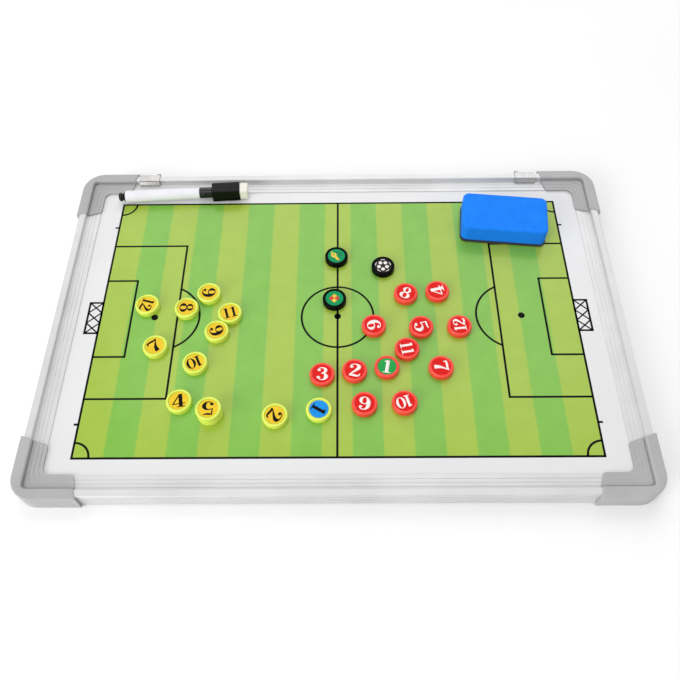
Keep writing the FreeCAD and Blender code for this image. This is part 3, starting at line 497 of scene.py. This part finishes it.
def clipParts(name, shift):  # strip, tail and leaf
    low, high = (np.array(corner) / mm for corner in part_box(name))
    middle = (low[0] + high[0]) / 2
    left, right = middle + shift - clip["length"] / 2, middle + shift + clip["length"] / 2
    half = clip["gauge"] / 2
    back = high[1] - clip["earFlare"] - half
    strip = bentStrip(high[2] - half, low[2] + half, back, left, right)
    tailStart, tailEnd = (left, low[1]), (right, back - clip["foot"])
    eye = (middle, low[1] + clip["eyeFrom"])
    tail = eyePlate(tailStart, tailEnd, eye, clip["eye"], low[2], low[2] + clip["gauge"])
    inward = -np.sign(middle)
    tip = right if inward > 0 else left
    leafRoot = (tip - inward * clip["earLength"], back)
    leafTip = (tip - inward * clip["earTip"], back + clip["earFlare"])
    leafFoot = high[2] - clip["earFoot"]
    leaf = band([leafRoot, leafTip], clip["gauge"], leafFoot, leafFoot + clip["earHeight"])
    return [strip, tail, leaf]


for name, shift in clipShifts.items():
    replaceNode(name, "bent", clipParts(name, shift), name, ["brightPlate"])
print("hanger clips made:", len(clipShifts))

# The printed pitch, millimetres from its middle.
pitch = {
    "halfLength": 189.3, "halfWidth": 119.9, "stripes": 17, "line": 1.65, "film": 0.03,
    "boxDepth": 61.4, "boxHalf": 72.7, "areaDepth": 24.6, "areaHalf": 36.3,
    "spot": 43.3, "spotRadius": 2.7, "arcRadius": 30.6, "arcFromLine": 48.5,
    "circle": 28.6, "corner": 12.0, "tick": 3.5, "tickFrom": 93.4,
    "goalDepth": 10.6, "goalHalf": 14.5, "goalCells": 3, "netLine": 1.15,
}
endLine, touchLine = pitch["halfLength"], pitch["halfWidth"]
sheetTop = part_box("writing_sheet")[1].z / mm
groundTop = sheetTop + pitch["film"]
lineTop = groundTop + pitch["film"]

finishes["pitch"] = pitchInk(2 * endLine / pitch["stripes"])
groundProfile = np.array([(touchLine, 0), (0, 0), (0, pitch["film"]), (touchLine, pitch["film"])])
points, faces = softBlock(endLine, touchLine, 0, groundProfile)
addPiece("pitch_ground", [(points + (0, 0, sheetTop), faces)], "board", ["pitch"])


def inkLine(points, width=pitch["line"], closed=False):  # a printed line along a path
    return band(points, width, groundTop, lineTop, closed)


def inkFrame(x0, y0, x1, y1):  # a rectangle of four bands that meet in square corners
    half = pitch["line"] / 2
    return [inkLine(run) for run in (
        [(x0 - half, y0), (x1 + half, y0)], [(x0 - half, y1), (x1 + half, y1)],
        [(x0, y0 + half), (x0, y1 - half)], [(x1, y0 + half), (x1, y1 - half)])]


def inkBox(end, depth, half):  # the three sides of a box that stands on an end line
    boxLine = end * (endLine - depth)
    over = half + pitch["line"] / 2
    return [inkLine([(end * endLine, -half), (boxLine, -half)]),
            inkLine([(end * endLine, half), (boxLine, half)]),
            inkLine([(boxLine, -over), (boxLine, over)])]


def inkDot(x, y):  # a filled spot
    return patch(disc(x, y, pitch["spotRadius"]), groundTop, lineTop)


def inkGoal(end):  # a goal behind an end line, with crossed lines for its net
    goalLine, goalBack = end * endLine, end * (endLine + pitch["goalDepth"])
    half = pitch["goalHalf"]
    parts = inkFrame(min(goalLine, goalBack), -half, max(goalLine, goalBack), half)
    levels = np.linspace(-half, half, pitch["goalCells"] + 1)
    for low, high in zip(levels, levels[1:]):
        parts.append(inkLine([(goalLine, low), (goalBack, high)], pitch["netLine"]))
        parts.append(inkLine([(goalLine, high), (goalBack, low)], pitch["netLine"]))
    return parts


# Where each corner's arc starts, in degrees, by its end and side of the pitch.
cornerStart = {(-1, -1): 0, (1, -1): 90, (1, 1): 180, (-1, 1): 270}
arcPastBox = pitch["boxDepth"] - pitch["arcFromLine"]
arcSweep = np.degrees(np.arccos(arcPastBox / pitch["arcRadius"]))
lines = inkFrame(-endLine, -touchLine, endLine, touchLine)
lines += [inkLine([(0, -touchLine), (0, touchLine)]), inkDot(0, 0)]
lines.append(inkLine(disc(0, 0, pitch["circle"], steps=96), closed=True))
for end in (-1, 1):
    lines += inkBox(end, pitch["boxDepth"], pitch["boxHalf"])
    lines += inkBox(end, pitch["areaDepth"], pitch["areaHalf"])
    lines.append(inkDot(end * (endLine - pitch["spot"]), 0))
    arcMiddle = end * (endLine - pitch["arcFromLine"])
    facing = 90 + end * 90
    lines.append(inkLine(arc(arcMiddle, 0, pitch["arcRadius"], facing - arcSweep, facing + arcSweep)))
    for side in (-1, 1):
        start = cornerStart[end, side]
        quarter = arc(end * endLine, side * touchLine, pitch["corner"], start, start + 90, steps=24)
        tickLine = side * pitch["tickFrom"]
        lines.append(inkLine(quarter))
        lines.append(inkLine([(end * endLine, tickLine), (end * (endLine + pitch["tick"]), tickLine)]))
    lines += inkGoal(end)
addPiece("pitch_lines", lines, "board", ["blackInk"], False)
print("pitch printed:", len(lines), "lines")

# Heavy serif numerals, one unit high: strokes are marks of x, y and width, dots are x, y and radius,
# rings are x, y, half width, half height and the width of their heavy sides.
numeralThin = 0.055  # width of a ring's light sides
numerals = {
    "0": {"rings": [(0, 0.5, 0.215, 0.46, 0.17)]},
    "1": {"strokes": [[(0.02, 0.02, 0.16), (0.02, 0.98, 0.16)], [(-0.14, 0.85, 0.05), (0.0, 0.95, 0.09)],
                      [(-0.16, 0.03, 0.06), (0.2, 0.03, 0.06)]]},
    "2": {"strokes": [[(-0.21, 0.74, 0.05), (-0.16, 0.9, 0.06), (0.02, 0.965, 0.07), (0.17, 0.87, 0.15),
                       (0.18, 0.69, 0.18), (0.06, 0.48, 0.13), (-0.1, 0.28, 0.08), (-0.22, 0.1, 0.06)],
                      [(-0.23, 0.08, 0.1), (-0.08, 0.11, 0.16), (0.1, 0.07, 0.15), (0.21, 0.09, 0.1),
                       (0.27, 0.26, 0.03)]],
          "dots": [(-0.15, 0.74, 0.09)]},
    "3": {"strokes": [[(-0.2, 0.78, 0.05), (-0.12, 0.93, 0.06), (0.04, 0.96, 0.08), (0.15, 0.83, 0.16),
                       (0.12, 0.63, 0.12), (-0.04, 0.54, 0.05)],
                      [(-0.04, 0.54, 0.05), (0.14, 0.48, 0.12), (0.2, 0.27, 0.19), (0.1, 0.07, 0.1),
                       (-0.05, 0.035, 0.06), (-0.2, 0.17, 0.05)]],
          "dots": [(-0.15, 0.77, 0.085), (-0.15, 0.2, 0.09)]},
    "4": {"strokes": [[(0.09, 0.02, 0.17), (0.09, 0.98, 0.17)], [(0.06, 0.96, 0.06), (-0.27, 0.27, 0.06)],
                      [(-0.3, 0.26, 0.07), (0.28, 0.26, 0.07)], [(-0.09, 0.03, 0.06), (0.27, 0.03, 0.06)]]},
    "5": {"strokes": [[(-0.18, 0.94, 0.09), (0.0, 0.91, 0.13), (0.2, 0.95, 0.06)],
                      [(-0.18, 0.97, 0.06), (-0.19, 0.5, 0.05)],
                      [(-0.19, 0.51, 0.05), (-0.05, 0.59, 0.07), (0.12, 0.53, 0.15), (0.19, 0.32, 0.19),
                       (0.11, 0.09, 0.11), (-0.04, 0.035, 0.06), (-0.2, 0.16, 0.05)]],
          "dots": [(-0.15, 0.19, 0.09)]},
    "6": {"rings": [(0.02, 0.29, 0.17, 0.255, 0.15)],
          "strokes": [[(0.21, 0.79, 0.05), (0.13, 0.93, 0.06), (-0.02, 0.95, 0.08), (-0.15, 0.79, 0.15),
                       (-0.19, 0.52, 0.17), (-0.16, 0.28, 0.16), (-0.08, 0.1, 0.08)]],
          "dots": [(0.15, 0.78, 0.08)]},
    "7": {"strokes": [[(-0.24, 0.91, 0.13), (-0.08, 0.93, 0.15), (0.08, 0.89, 0.14), (0.25, 0.94, 0.06)],
                      [(-0.245, 0.98, 0.05), (-0.25, 0.72, 0.04)],
                      [(0.25, 0.93, 0.05), (0.1, 0.66, 0.08), (0.0, 0.4, 0.15), (-0.04, 0.2, 0.19),
                       (-0.05, 0.02, 0.2)]]},
    "8": {"rings": [(0, 0.755, 0.14, 0.215, 0.13), (0, 0.27, 0.18, 0.245, 0.16)]},
}

# Magnetic counters: sizes of the shell with its recess, of the label and the trough round it, of the
# magnet in the base with the seam round it, and of the numbers, as height and width of a numeral.
counter = {
    "segments": 64, "rim": 1.8, "recess": 0.6, "footRound": 0.35, "topRound": 1.1, "innerRound": 0.35,
    "label": 0.04, "labelInset": 0.6, "groove": 0.5, "grooveDepth": 0.5, "grooveRound": 0.1,
    "magnet": 6.5, "seam": 0.12, "seamDepth": 0.4,
    "ink": 0.04, "strokeLift": 0.002, "dotLift": 0.02,  # lifts keep crossing strokes out of one plane
    "single": (11.0, 16.2), "pair": (9.6, 11.8), "pitch": 5.7,
}

# The colours of each set, and how far its numbers from 1 to 12 are turned, in degrees.
sets = {
    "red": {"shell": "redShell", "first": "greenLabel", "others": "redLabel", "ink": "whiteInk",
            "turns": [-10, -8, -5, 104, -75, 168, -78, -26, 100, 197, -80, 95]},
    "yellow": {"shell": "yellowShell", "first": "blueLabel", "others": "yellowLabel", "ink": "blackInk",
               "turns": [-121, -120, 0, 10, 180, 110, 43, -88, -90, 205, 16, -106]},
}


# A numeral's rings and strokes as flat bands, each a little above the last, and its dots above them, all
# moved down by half the numeral's height so that its middle is at the origin.
def numeralParts(digit, ringSteps=40, dotSteps=20, half=0.5):
    flip = digit == "9"  # a nine is a six upside down
    shapes = numerals["6" if flip else digit]
    angle = np.linspace(0, 2 * np.pi, ringSteps, endpoint=False)
    paths = []
    for x, y, halfX, halfY, heavy in shapes.get("rings", []):
        ring = np.column_stack([x + halfX * np.cos(angle), y + halfY * np.sin(angle)])
        paths.append((ring, numeralThin + (heavy - numeralThin) * np.cos(angle) ** 2, True))
    for marks in shapes.get("strokes", []):
        curve = stroke(marks)
        paths.append((curve[:, :2], curve[:, 2], False))
    parts = []
    for index, (path, width, closed) in enumerate(paths):
        top = counter["ink"] + counter["strokeLift"] * index
        parts.append(band(path - (0, half), width, 0.0, top, closed))
    for x, y, radius in shapes.get("dots", []):
        dot = disc(x, y - half, radius, dotSteps)
        parts.append(patch(dot, 0.0, counter["ink"] + counter["dotLift"]))
    return [(turned(points, 180 * flip), faces) for points, faces in parts]


# A number on a counter: its digits side by side, scaled to their height and turned as the counter lies.
def numberParts(text, x, y, level, turn):
    parts = []
    tall, wide = counter["pair"] if len(text) > 1 else counter["single"]
    for index, digit in enumerate(text):
        shift = (index - (len(text) - 1) / 2) * counter["pitch"]
        for points, faces in numeralParts(digit):
            scaled = points * (wide, tall, 1) + (shift, 0, 0)
            parts.append((turned(scaled, turn, x, y, level), faces))
    return parts


def counterProfile(radius, height):  # radius and height, from the magnet's middle round to the recess's
    magnet, depth = counter["magnet"], counter["seamDepth"]
    seam = magnet + counter["seam"]
    floor = height - counter["recess"]
    inside = radius - counter["rim"]
    plinth = inside - counter["groove"]
    trough = floor - counter["grooveDepth"]
    soft = counter["grooveRound"]
    under = np.array([(0, 0), (magnet, 0), (magnet, depth), (seam, depth), (seam, 0)])
    shell = softCorners([
        (seam, 0, 0), (radius, 0, counter["footRound"]), (radius, height, counter["topRound"]),
        (inside, height, counter["innerRound"]), (inside, trough, soft), (plinth, trough, soft),
        (plinth, floor, soft), (0, floor, 0)])
    return np.concatenate([under, shell[1:]])


# The shell with its magnet, and the label in its recess. Returns where the print goes.
def counterBody(name, shell, film):
    low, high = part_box(name)
    x, y = (low.x + high.x) / 2 / mm, (low.y + high.y) / 2 / mm
    base, height, radius = low.z / mm, (high.z - low.z) / mm, (high.x - low.x) / 2 / mm
    points, faces = lathe(counterProfile(radius, height), counter["segments"])
    magnetFaces = 2 * counter["segments"]  # the profile starts with the magnet's face and side
    finish = (np.arange(len(faces)) < magnetFaces).astype(int)
    parts = [(points + (x, y, base), faces, finish)]
    replaceNode(name, "shell", parts, name, [shell, "ferrite"])
    floor = base + height - counter["recess"]
    labelTop = floor + counter["label"]
    edge = disc(x, y, radius - counter["rim"] - counter["labelInset"], counter["segments"])
    addPiece(name + "_label", [patch(edge, floor, labelTop)], name, [film])
    return x, y, labelTop


for team, look in sets.items():
    for number, turn in enumerate(look["turns"], 1):
        name = f"{team}_counter_{number:02d}"
        place = counterBody(name, look["shell"], look["first"] if number == 1 else look["others"])
        parts = numberParts(str(number), *place, turn)
        addPiece(name + "_number", parts, name, [look["ink"]], False)
    print(team, "counters made:", len(look["turns"]))

# What is printed on the three black counters, millimetres from the counter's middle.
whistle = {
    "body": (-2.1, 0.8), "bodyRadius": 1.7, "bodyLine": 1.3, "tip": (2.1, -4.5), "stem": (2.4, 1.9),
    "eye": (-3.7, 3.5), "eyeRadius": 0.85, "eyeLine": 0.55,
    "bodyInk": 1.1, "eyeInk": 1.2,  # thickness of ink, against the stem's
    "lanyard": [(-0.6, 4.2, 1.1), (2.1, 2.8, 1.4), (4.0, -0.8, 1.1)],
}
flag = {"side": 3.1, "lean": 45.0}
ball = {"panels": 5, "panel": 1.75, "panelSides": 6, "panelRing": 3.5, "turn": -90.0,
        "arcRing": 6.2, "arcHalf": 15.0, "arcLine": 0.6}


def whistleParts(ink):  # round body with its mouthpiece and eye, and a dark lanyard
    body = disc(*whistle["body"], whistle["bodyRadius"])
    eye = disc(*whistle["eye"], whistle["eyeRadius"])
    lanyard = stroke(whistle["lanyard"])
    return [
        (*band([whistle["body"], whistle["tip"]], whistle["stem"], 0.0, ink), 0),
        (*band(body, whistle["bodyLine"], 0.0, whistle["bodyInk"] * ink, True), 0),
        (*band(eye, whistle["eyeLine"], 0.0, whistle["eyeInk"] * ink, True), 0),
        (*band(lanyard[:, :2], lanyard[:, 2], 0.0, ink), 1),
    ]


def flagParts(ink):  # a quartered flag that leans
    square = np.array([(0, 0), (1, 0), (1, 1), (0, 1)])
    parts = []
    for corner in ((-1, -1), (-1, 0), (0, -1), (0, 0)):
        points, faces = patch((square + corner) * flag["side"], 0.0, ink)
        parts.append((turned(points, flag["lean"]), faces, int(corner[0] != corner[1])))
    return parts


def ballParts(ink):  # five pale panels round a dark one, and five short pale arcs outside them
    parts = []
    for index in range(ball["panels"]):
        angle = 360 / ball["panels"] * index + ball["turn"]
        points, faces = patch(disc(ball["panelRing"], 0, ball["panel"], ball["panelSides"]), 0.0, ink)
        parts.append((turned(points, angle), faces))
        gap = angle + 180 / ball["panels"]
        path = arc(0, 0, ball["arcRing"], gap - ball["arcHalf"], gap + ball["arcHalf"], steps=12)
        parts.append(band(path, ball["arcLine"], 0.0, ink))
    return parts


icons = {
    "whistle_counter": ("tealLabel", whistleParts, ["yellowInk", "darkGreenInk"]),
    "flag_counter": ("tealLabel", flagParts, ["yellowInk", "redInk"]),
    "ball_counter": ("blackLabel", ballParts, ["whiteInk"]),
}
for name, (film, draw, inks) in icons.items():
    place = counterBody(name, "blackShell", film)
    parts = [(points + place, *rest) for points, *rest in draw(counter["ink"])]
    addPiece(name + "_print", parts, name, inks, False)
print("black counters made:", len(icons))

# The marker lies along its own axis. Distances run from the end of its plug, radii from the axis.
marker = {"tail": (-192.2, 123.0), "turn": 3.3}
penLow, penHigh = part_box("marker_barrel")
penLevel = (penLow.z + penHigh.z) / 2 / mm


def alongPen(shape):  # a shape round the z axis is laid along the marker
    points, faces = shape
    return turned(points[:, [2, 0, 1]], marker["turn"], *marker["tail"], penLevel), faces


# The end plug: a knob on a waisted stem. Its outline is radius, distance and rounding.
plug = {
    "segments": 64, "length": 6.0, "seat": 4.9,
    "outline": [(0, 0, 0), (3.0, 0, 0.4), (3.8, 0.8, 0.5), (3.8, 2.4, 0.4), (2.5, 3.2, 0.6),
                (4.5, 5.2, 0.5)],
}
plugEnd = plug["length"]
plugProfile = softCorners(plug["outline"] + [(plug["seat"], plugEnd, 0), (0, plugEnd, 0)])

# The nib: a fibre rod that tapers to a blunt tip, loose by a little in the nose.
nib = {"segments": 40, "radius": 1.9, "loose": 0.05, "length": 6.0, "sunk": 1.0,
       "taper": 2.6, "taperRound": 0.8, "tip": 0.8, "tipRound": 0.5}

# The barrel: a slight taper with a bevelled tail, and a nose with a collar. The collar's outline is how far
# it stands out from the nose, distance from the shoulder and rounding.
barrel = {
    "segments": 72, "length": 64.8, "radius": 5.3, "bevel": 0.3, "bevelLength": 0.5, "bevelRound": 0.4,
    "mouth": 4.8, "mouthRound": 0.5, "nose": 10.0, "noseRadius": 3.2, "noseRound": 0.5,
    "collar": [(0.5, 0, 0.3), (0.3, 1.2, 0.2), (0, 1.4, 0.1)],
}
barrelEnd = plugEnd + barrel["length"]
noseEnd = barrelEnd + barrel["nose"]
nibEnd = noseEnd + nib["length"]
nose = barrel["noseRadius"]
tailOutline = [
    (0, plugEnd, 0), (barrel["radius"] - barrel["bevel"], plugEnd, 0),
    (barrel["radius"], plugEnd + barrel["bevelLength"], barrel["bevelRound"]),
    (barrel["mouth"], barrelEnd, barrel["mouthRound"])]
collarOutline = [(nose + out, barrelEnd + along, soft) for out, along, soft in barrel["collar"]]
noseOutline = [(nose, noseEnd, barrel["noseRound"]), (nib["radius"], noseEnd, 0), (0, noseEnd, 0)]
barrelProfile = softCorners(tailOutline + collarOutline + noseOutline)
nibSide, nibStart = nib["radius"] - nib["loose"], noseEnd - nib["sunk"]
nibProfile = softCorners([
    (0, nibStart, 0), (nibSide, nibStart, 0), (nibSide, nibEnd - nib["taper"], nib["taperRound"]),
    (nib["tip"], nibEnd, nib["tipRound"]), (0, nibEnd, 0)])

barrelShape = alongPen(lathe(barrelProfile, barrel["segments"]))
plugShape = alongPen(lathe(plugProfile, plug["segments"]))
nibShape = alongPen(lathe(nibProfile, nib["segments"]))
replaceNode("marker_barrel", "turned", [barrelShape], "marker", ["whiteShell"])
replaceNode("marker_end_plug", "turned", [plugShape], "marker", ["blackPolish"])
replaceNode("marker_nib", "turned", [nibShape], "marker", ["inkFibre"])

# The cap: a round neck with a groove and a bore, and a square block. The groove's points are depth and
# distance from the neck's start, the root is where the neck ends inside the block.
cap = {
    "segments": 64, "gap": 0.15, "neck": 10.8, "neckRadius": 4.7, "neckRound": 0.4,
    "bore": 3.28, "boreRound": 0.3, "boreEnd": 1.5,
    "groove": [(0, 2.2), (0.2, 2.4), (0.2, 2.8), (0, 3.0)], "root": 3.6, "rootDepth": 0.5,
    "block": 24.2, "side": 11.8, "edge": 1.0, "startRound": 0.6, "endRound": 0.5,
}
neckStart = barrelEnd + cap["gap"]
blockStart = neckStart + cap["neck"]
blockEnd = blockStart + cap["block"]
boreEnd = nibEnd + cap["boreEnd"]
boreOutline = [(0, boreEnd, 0), (cap["bore"], boreEnd, 0), (cap["bore"], neckStart, cap["boreRound"])]
grooveOutline = [(cap["neckRadius"] - depth, neckStart + along, 0) for depth, along in cap["groove"]]
neckProfile = softCorners(
    boreOutline + [(cap["neckRadius"], neckStart, cap["neckRound"])] + grooveOutline
    + [(cap["neckRadius"], blockStart, 0), (cap["root"], blockStart + cap["rootDepth"], 0)])
halfSide = cap["side"] / 2
blockProfile = softCorners([
    (halfSide, blockStart, 0), (0, blockStart, cap["startRound"]), (0, blockEnd, cap["endRound"]),
    (halfSide, blockEnd, 0)])
neckShape = alongPen(lathe(neckProfile, cap["segments"]))
blockShape = alongPen(softBlock(halfSide, halfSide, cap["edge"], blockProfile))
capParts = [(*neckShape, 1), blockShape]
replaceNode("marker_cap", "moulded", capParts, "marker_cap", ["blackCap", "blackPolish"])

# The cap's felt: a soft square plug, pinched where the cap holds it and fullest a little way out.
felt = {"length": 7.1, "side": 10.8, "edge": 1.6, "pinch": 0.2, "fullAt": 1.5, "fullRound": 2.0,
        "tipInset": 0.1, "tipRound": 0.8, "fill": 0.9}
halfFelt = felt["side"] / 2
feltEnd = blockEnd + felt["length"]
feltProfile = softCorners([
    (halfFelt, blockEnd, 0), (felt["pinch"], blockEnd, 0), (0, blockEnd + felt["fullAt"], felt["fullRound"]),
    (felt["tipInset"], feltEnd, felt["tipRound"]), (halfFelt, feltEnd, 0)])
feltShape = alongPen(softBlock(halfFelt, halfFelt, felt["edge"], feltProfile))
capFelt = replaceNode("cap_felt", "pressed", [feltShape], "marker_cap", ["whiteFelt"])
print("marker made")

# The eraser: a foam block on a felt pad, turned on the sheet. The foam is drawn in at its foot and its
# waist, and its top is a little full inside the shoulder.
eraser = {
    "turn": -6.0, "length": 72.0, "width": 40.5, "radius": 6.0,
    "felt": 2.5, "feltFootRound": 0.4, "feltTopRound": 0.5, "feltFill": 0.9,
    "foam": 15.8, "inset": 0.6, "edge": 2.0, "crown": 0.25, "foamFill": 0.85,
    "footInset": 0.1, "footRound": 0.3, "footHeight": 1.0, "sideRound": 0.5,
    "waist": 0.15, "waistRound": 8.0, "shoulder": 6.0, "shoulderDrop": 0.05, "shoulderRound": 4.0,
}
feltLow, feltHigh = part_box("eraser_felt")
eraserX, eraserY = (feltLow.x + feltHigh.x) / 2 / mm, (feltLow.y + feltHigh.y) / 2 / mm
feltBase = feltLow.z / mm
halfLong, halfWide = eraser["length"] / 2, eraser["width"] / 2


def onSheet(shape, base):  # a shape round the z axis is turned and set down where the eraser lies
    points, faces = shape
    return turned(points, eraser["turn"], eraserX, eraserY, base), faces


padProfile = softCorners([
    (halfWide, 0, 0), (0, 0, eraser["feltFootRound"]), (0, eraser["felt"], eraser["feltTopRound"]),
    (halfWide, eraser["felt"], 0)])
padShape = onSheet(softBlock(halfLong, halfWide, eraser["radius"], padProfile), feltBase)
pad = replaceNode("eraser_felt", "pressed", [padShape], "eraser", ["darkFelt"])

foamLong, foamWide = halfLong - eraser["inset"], halfWide - eraser["inset"]
foamTop = eraser["foam"] - eraser["crown"]
foamProfile = softCorners([
    (foamWide, 0, 0), (eraser["footInset"], 0, eraser["footRound"]),
    (0, eraser["footHeight"], eraser["sideRound"]), (eraser["waist"], foamTop / 2, eraser["waistRound"]),
    (0, foamTop, eraser["edge"]),
    (eraser["shoulder"], eraser["foam"] - eraser["shoulderDrop"], eraser["shoulderRound"]),
    (foamWide, eraser["foam"], 0)])
foamBlock = softBlock(foamLong, foamWide, eraser["radius"] - eraser["inset"], foamProfile)
foamShape = onSheet(foamBlock, feltBase + eraser["felt"])
foam = replaceNode("eraser_foam", "cut", [foamShape], "eraser", ["foam"])
print("eraser made")

# Camera at the photograph's place: metres from the middle of the plane that the board lies on, radians.
shot = {"place": (0.007283, -0.316224, 0.486898), "elevation": 1.0178364, "azimuth": -0.0182274,
        "roll": -0.0216176, "lens": 37.9935, "sensor": 36.0}
azimuth, elevation, roll = shot["azimuth"], shot["elevation"], shot["roll"]
forward = np.array([np.sin(azimuth), np.cos(azimuth), 0])
ahead = forward * np.cos(elevation) - (0, 0, np.sin(elevation))
level = np.array([np.cos(azimuth), -np.sin(azimuth), 0])
upward = np.cross(level, ahead)
across = level * np.cos(roll) + upward * np.sin(roll)
upright = upward * np.cos(roll) - level * np.sin(roll)
axes = np.stack([across, upright, -ahead], 1)
lens = bpy.data.cameras.new("camera")
lens.sensor_fit = "HORIZONTAL"
lens.sensor_width = shot["sensor"]
lens.lens = shot["lens"]
camera = bpy.data.objects.new("camera", lens)
bpy.context.scene.collection.objects.link(camera)
camera.matrix_world = Matrix([(*row, shift) for row, shift in zip(axes, shot["place"])] + [(0, 0, 0, 1)])
bpy.context.scene.camera = camera

# Studio, in metres and watts: a pale floor, an even white surround and three wide soft lamps.
studio = {"floor": 3.0, "floorGap": 0.0001, "surround": 0.6, "lamps": {
    "overhead": {"place": (-0.1, -0.45, 1.5), "size": 0.9, "power": 4.0},
    "front": {"place": (-1.3, -1.05, 0.55), "size": 1.3, "power": 20.0},
    "backdrop": {"place": (0.1, 1.7, 1.6), "size": 2.2, "power": 20.0},
}}
finishes["floor"] = evenColour("matt white paper", "#FBFBFB", "#F7F7F7", 0.9, blotch=400.0, peel=60.0)
edge, depth = studio["floor"], -studio["floorGap"]
floorCorners = [(-edge, -edge, depth), (edge, -edge, depth), (edge, edge, depth), (-edge, edge, depth)]
floorMesh = bpy.data.meshes.new("floor")
floorMesh.from_pydata(floorCorners, [], [(0, 1, 2, 3)])
floorMesh.materials.append(finishes["floor"])
floorSheet = bpy.data.objects.new("floor", floorMesh)
bpy.context.scene.collection.objects.link(floorSheet)
world = bpy.data.worlds.new("studio")
world.use_nodes = True
world.node_tree.nodes["Background"].inputs["Color"].default_value = (1, 1, 1, 1)
world.node_tree.nodes["Background"].inputs["Strength"].default_value = studio["surround"]
bpy.context.scene.world = world
for name, lamp in studio["lamps"].items():
    light = bpy.data.lights.new(name, "AREA")
    light.size = lamp["size"]
    light.energy = lamp["power"]
    stand = bpy.data.objects.new(name, light)
    bpy.context.scene.collection.objects.link(stand)
    stand.location = lamp["place"]
    direction = -stand.location
    stand.rotation_euler = direction.to_track_quat("-Z", "Y").to_euler()
bpy.context.scene.view_settings.view_transform = "Standard"
print("studio set")
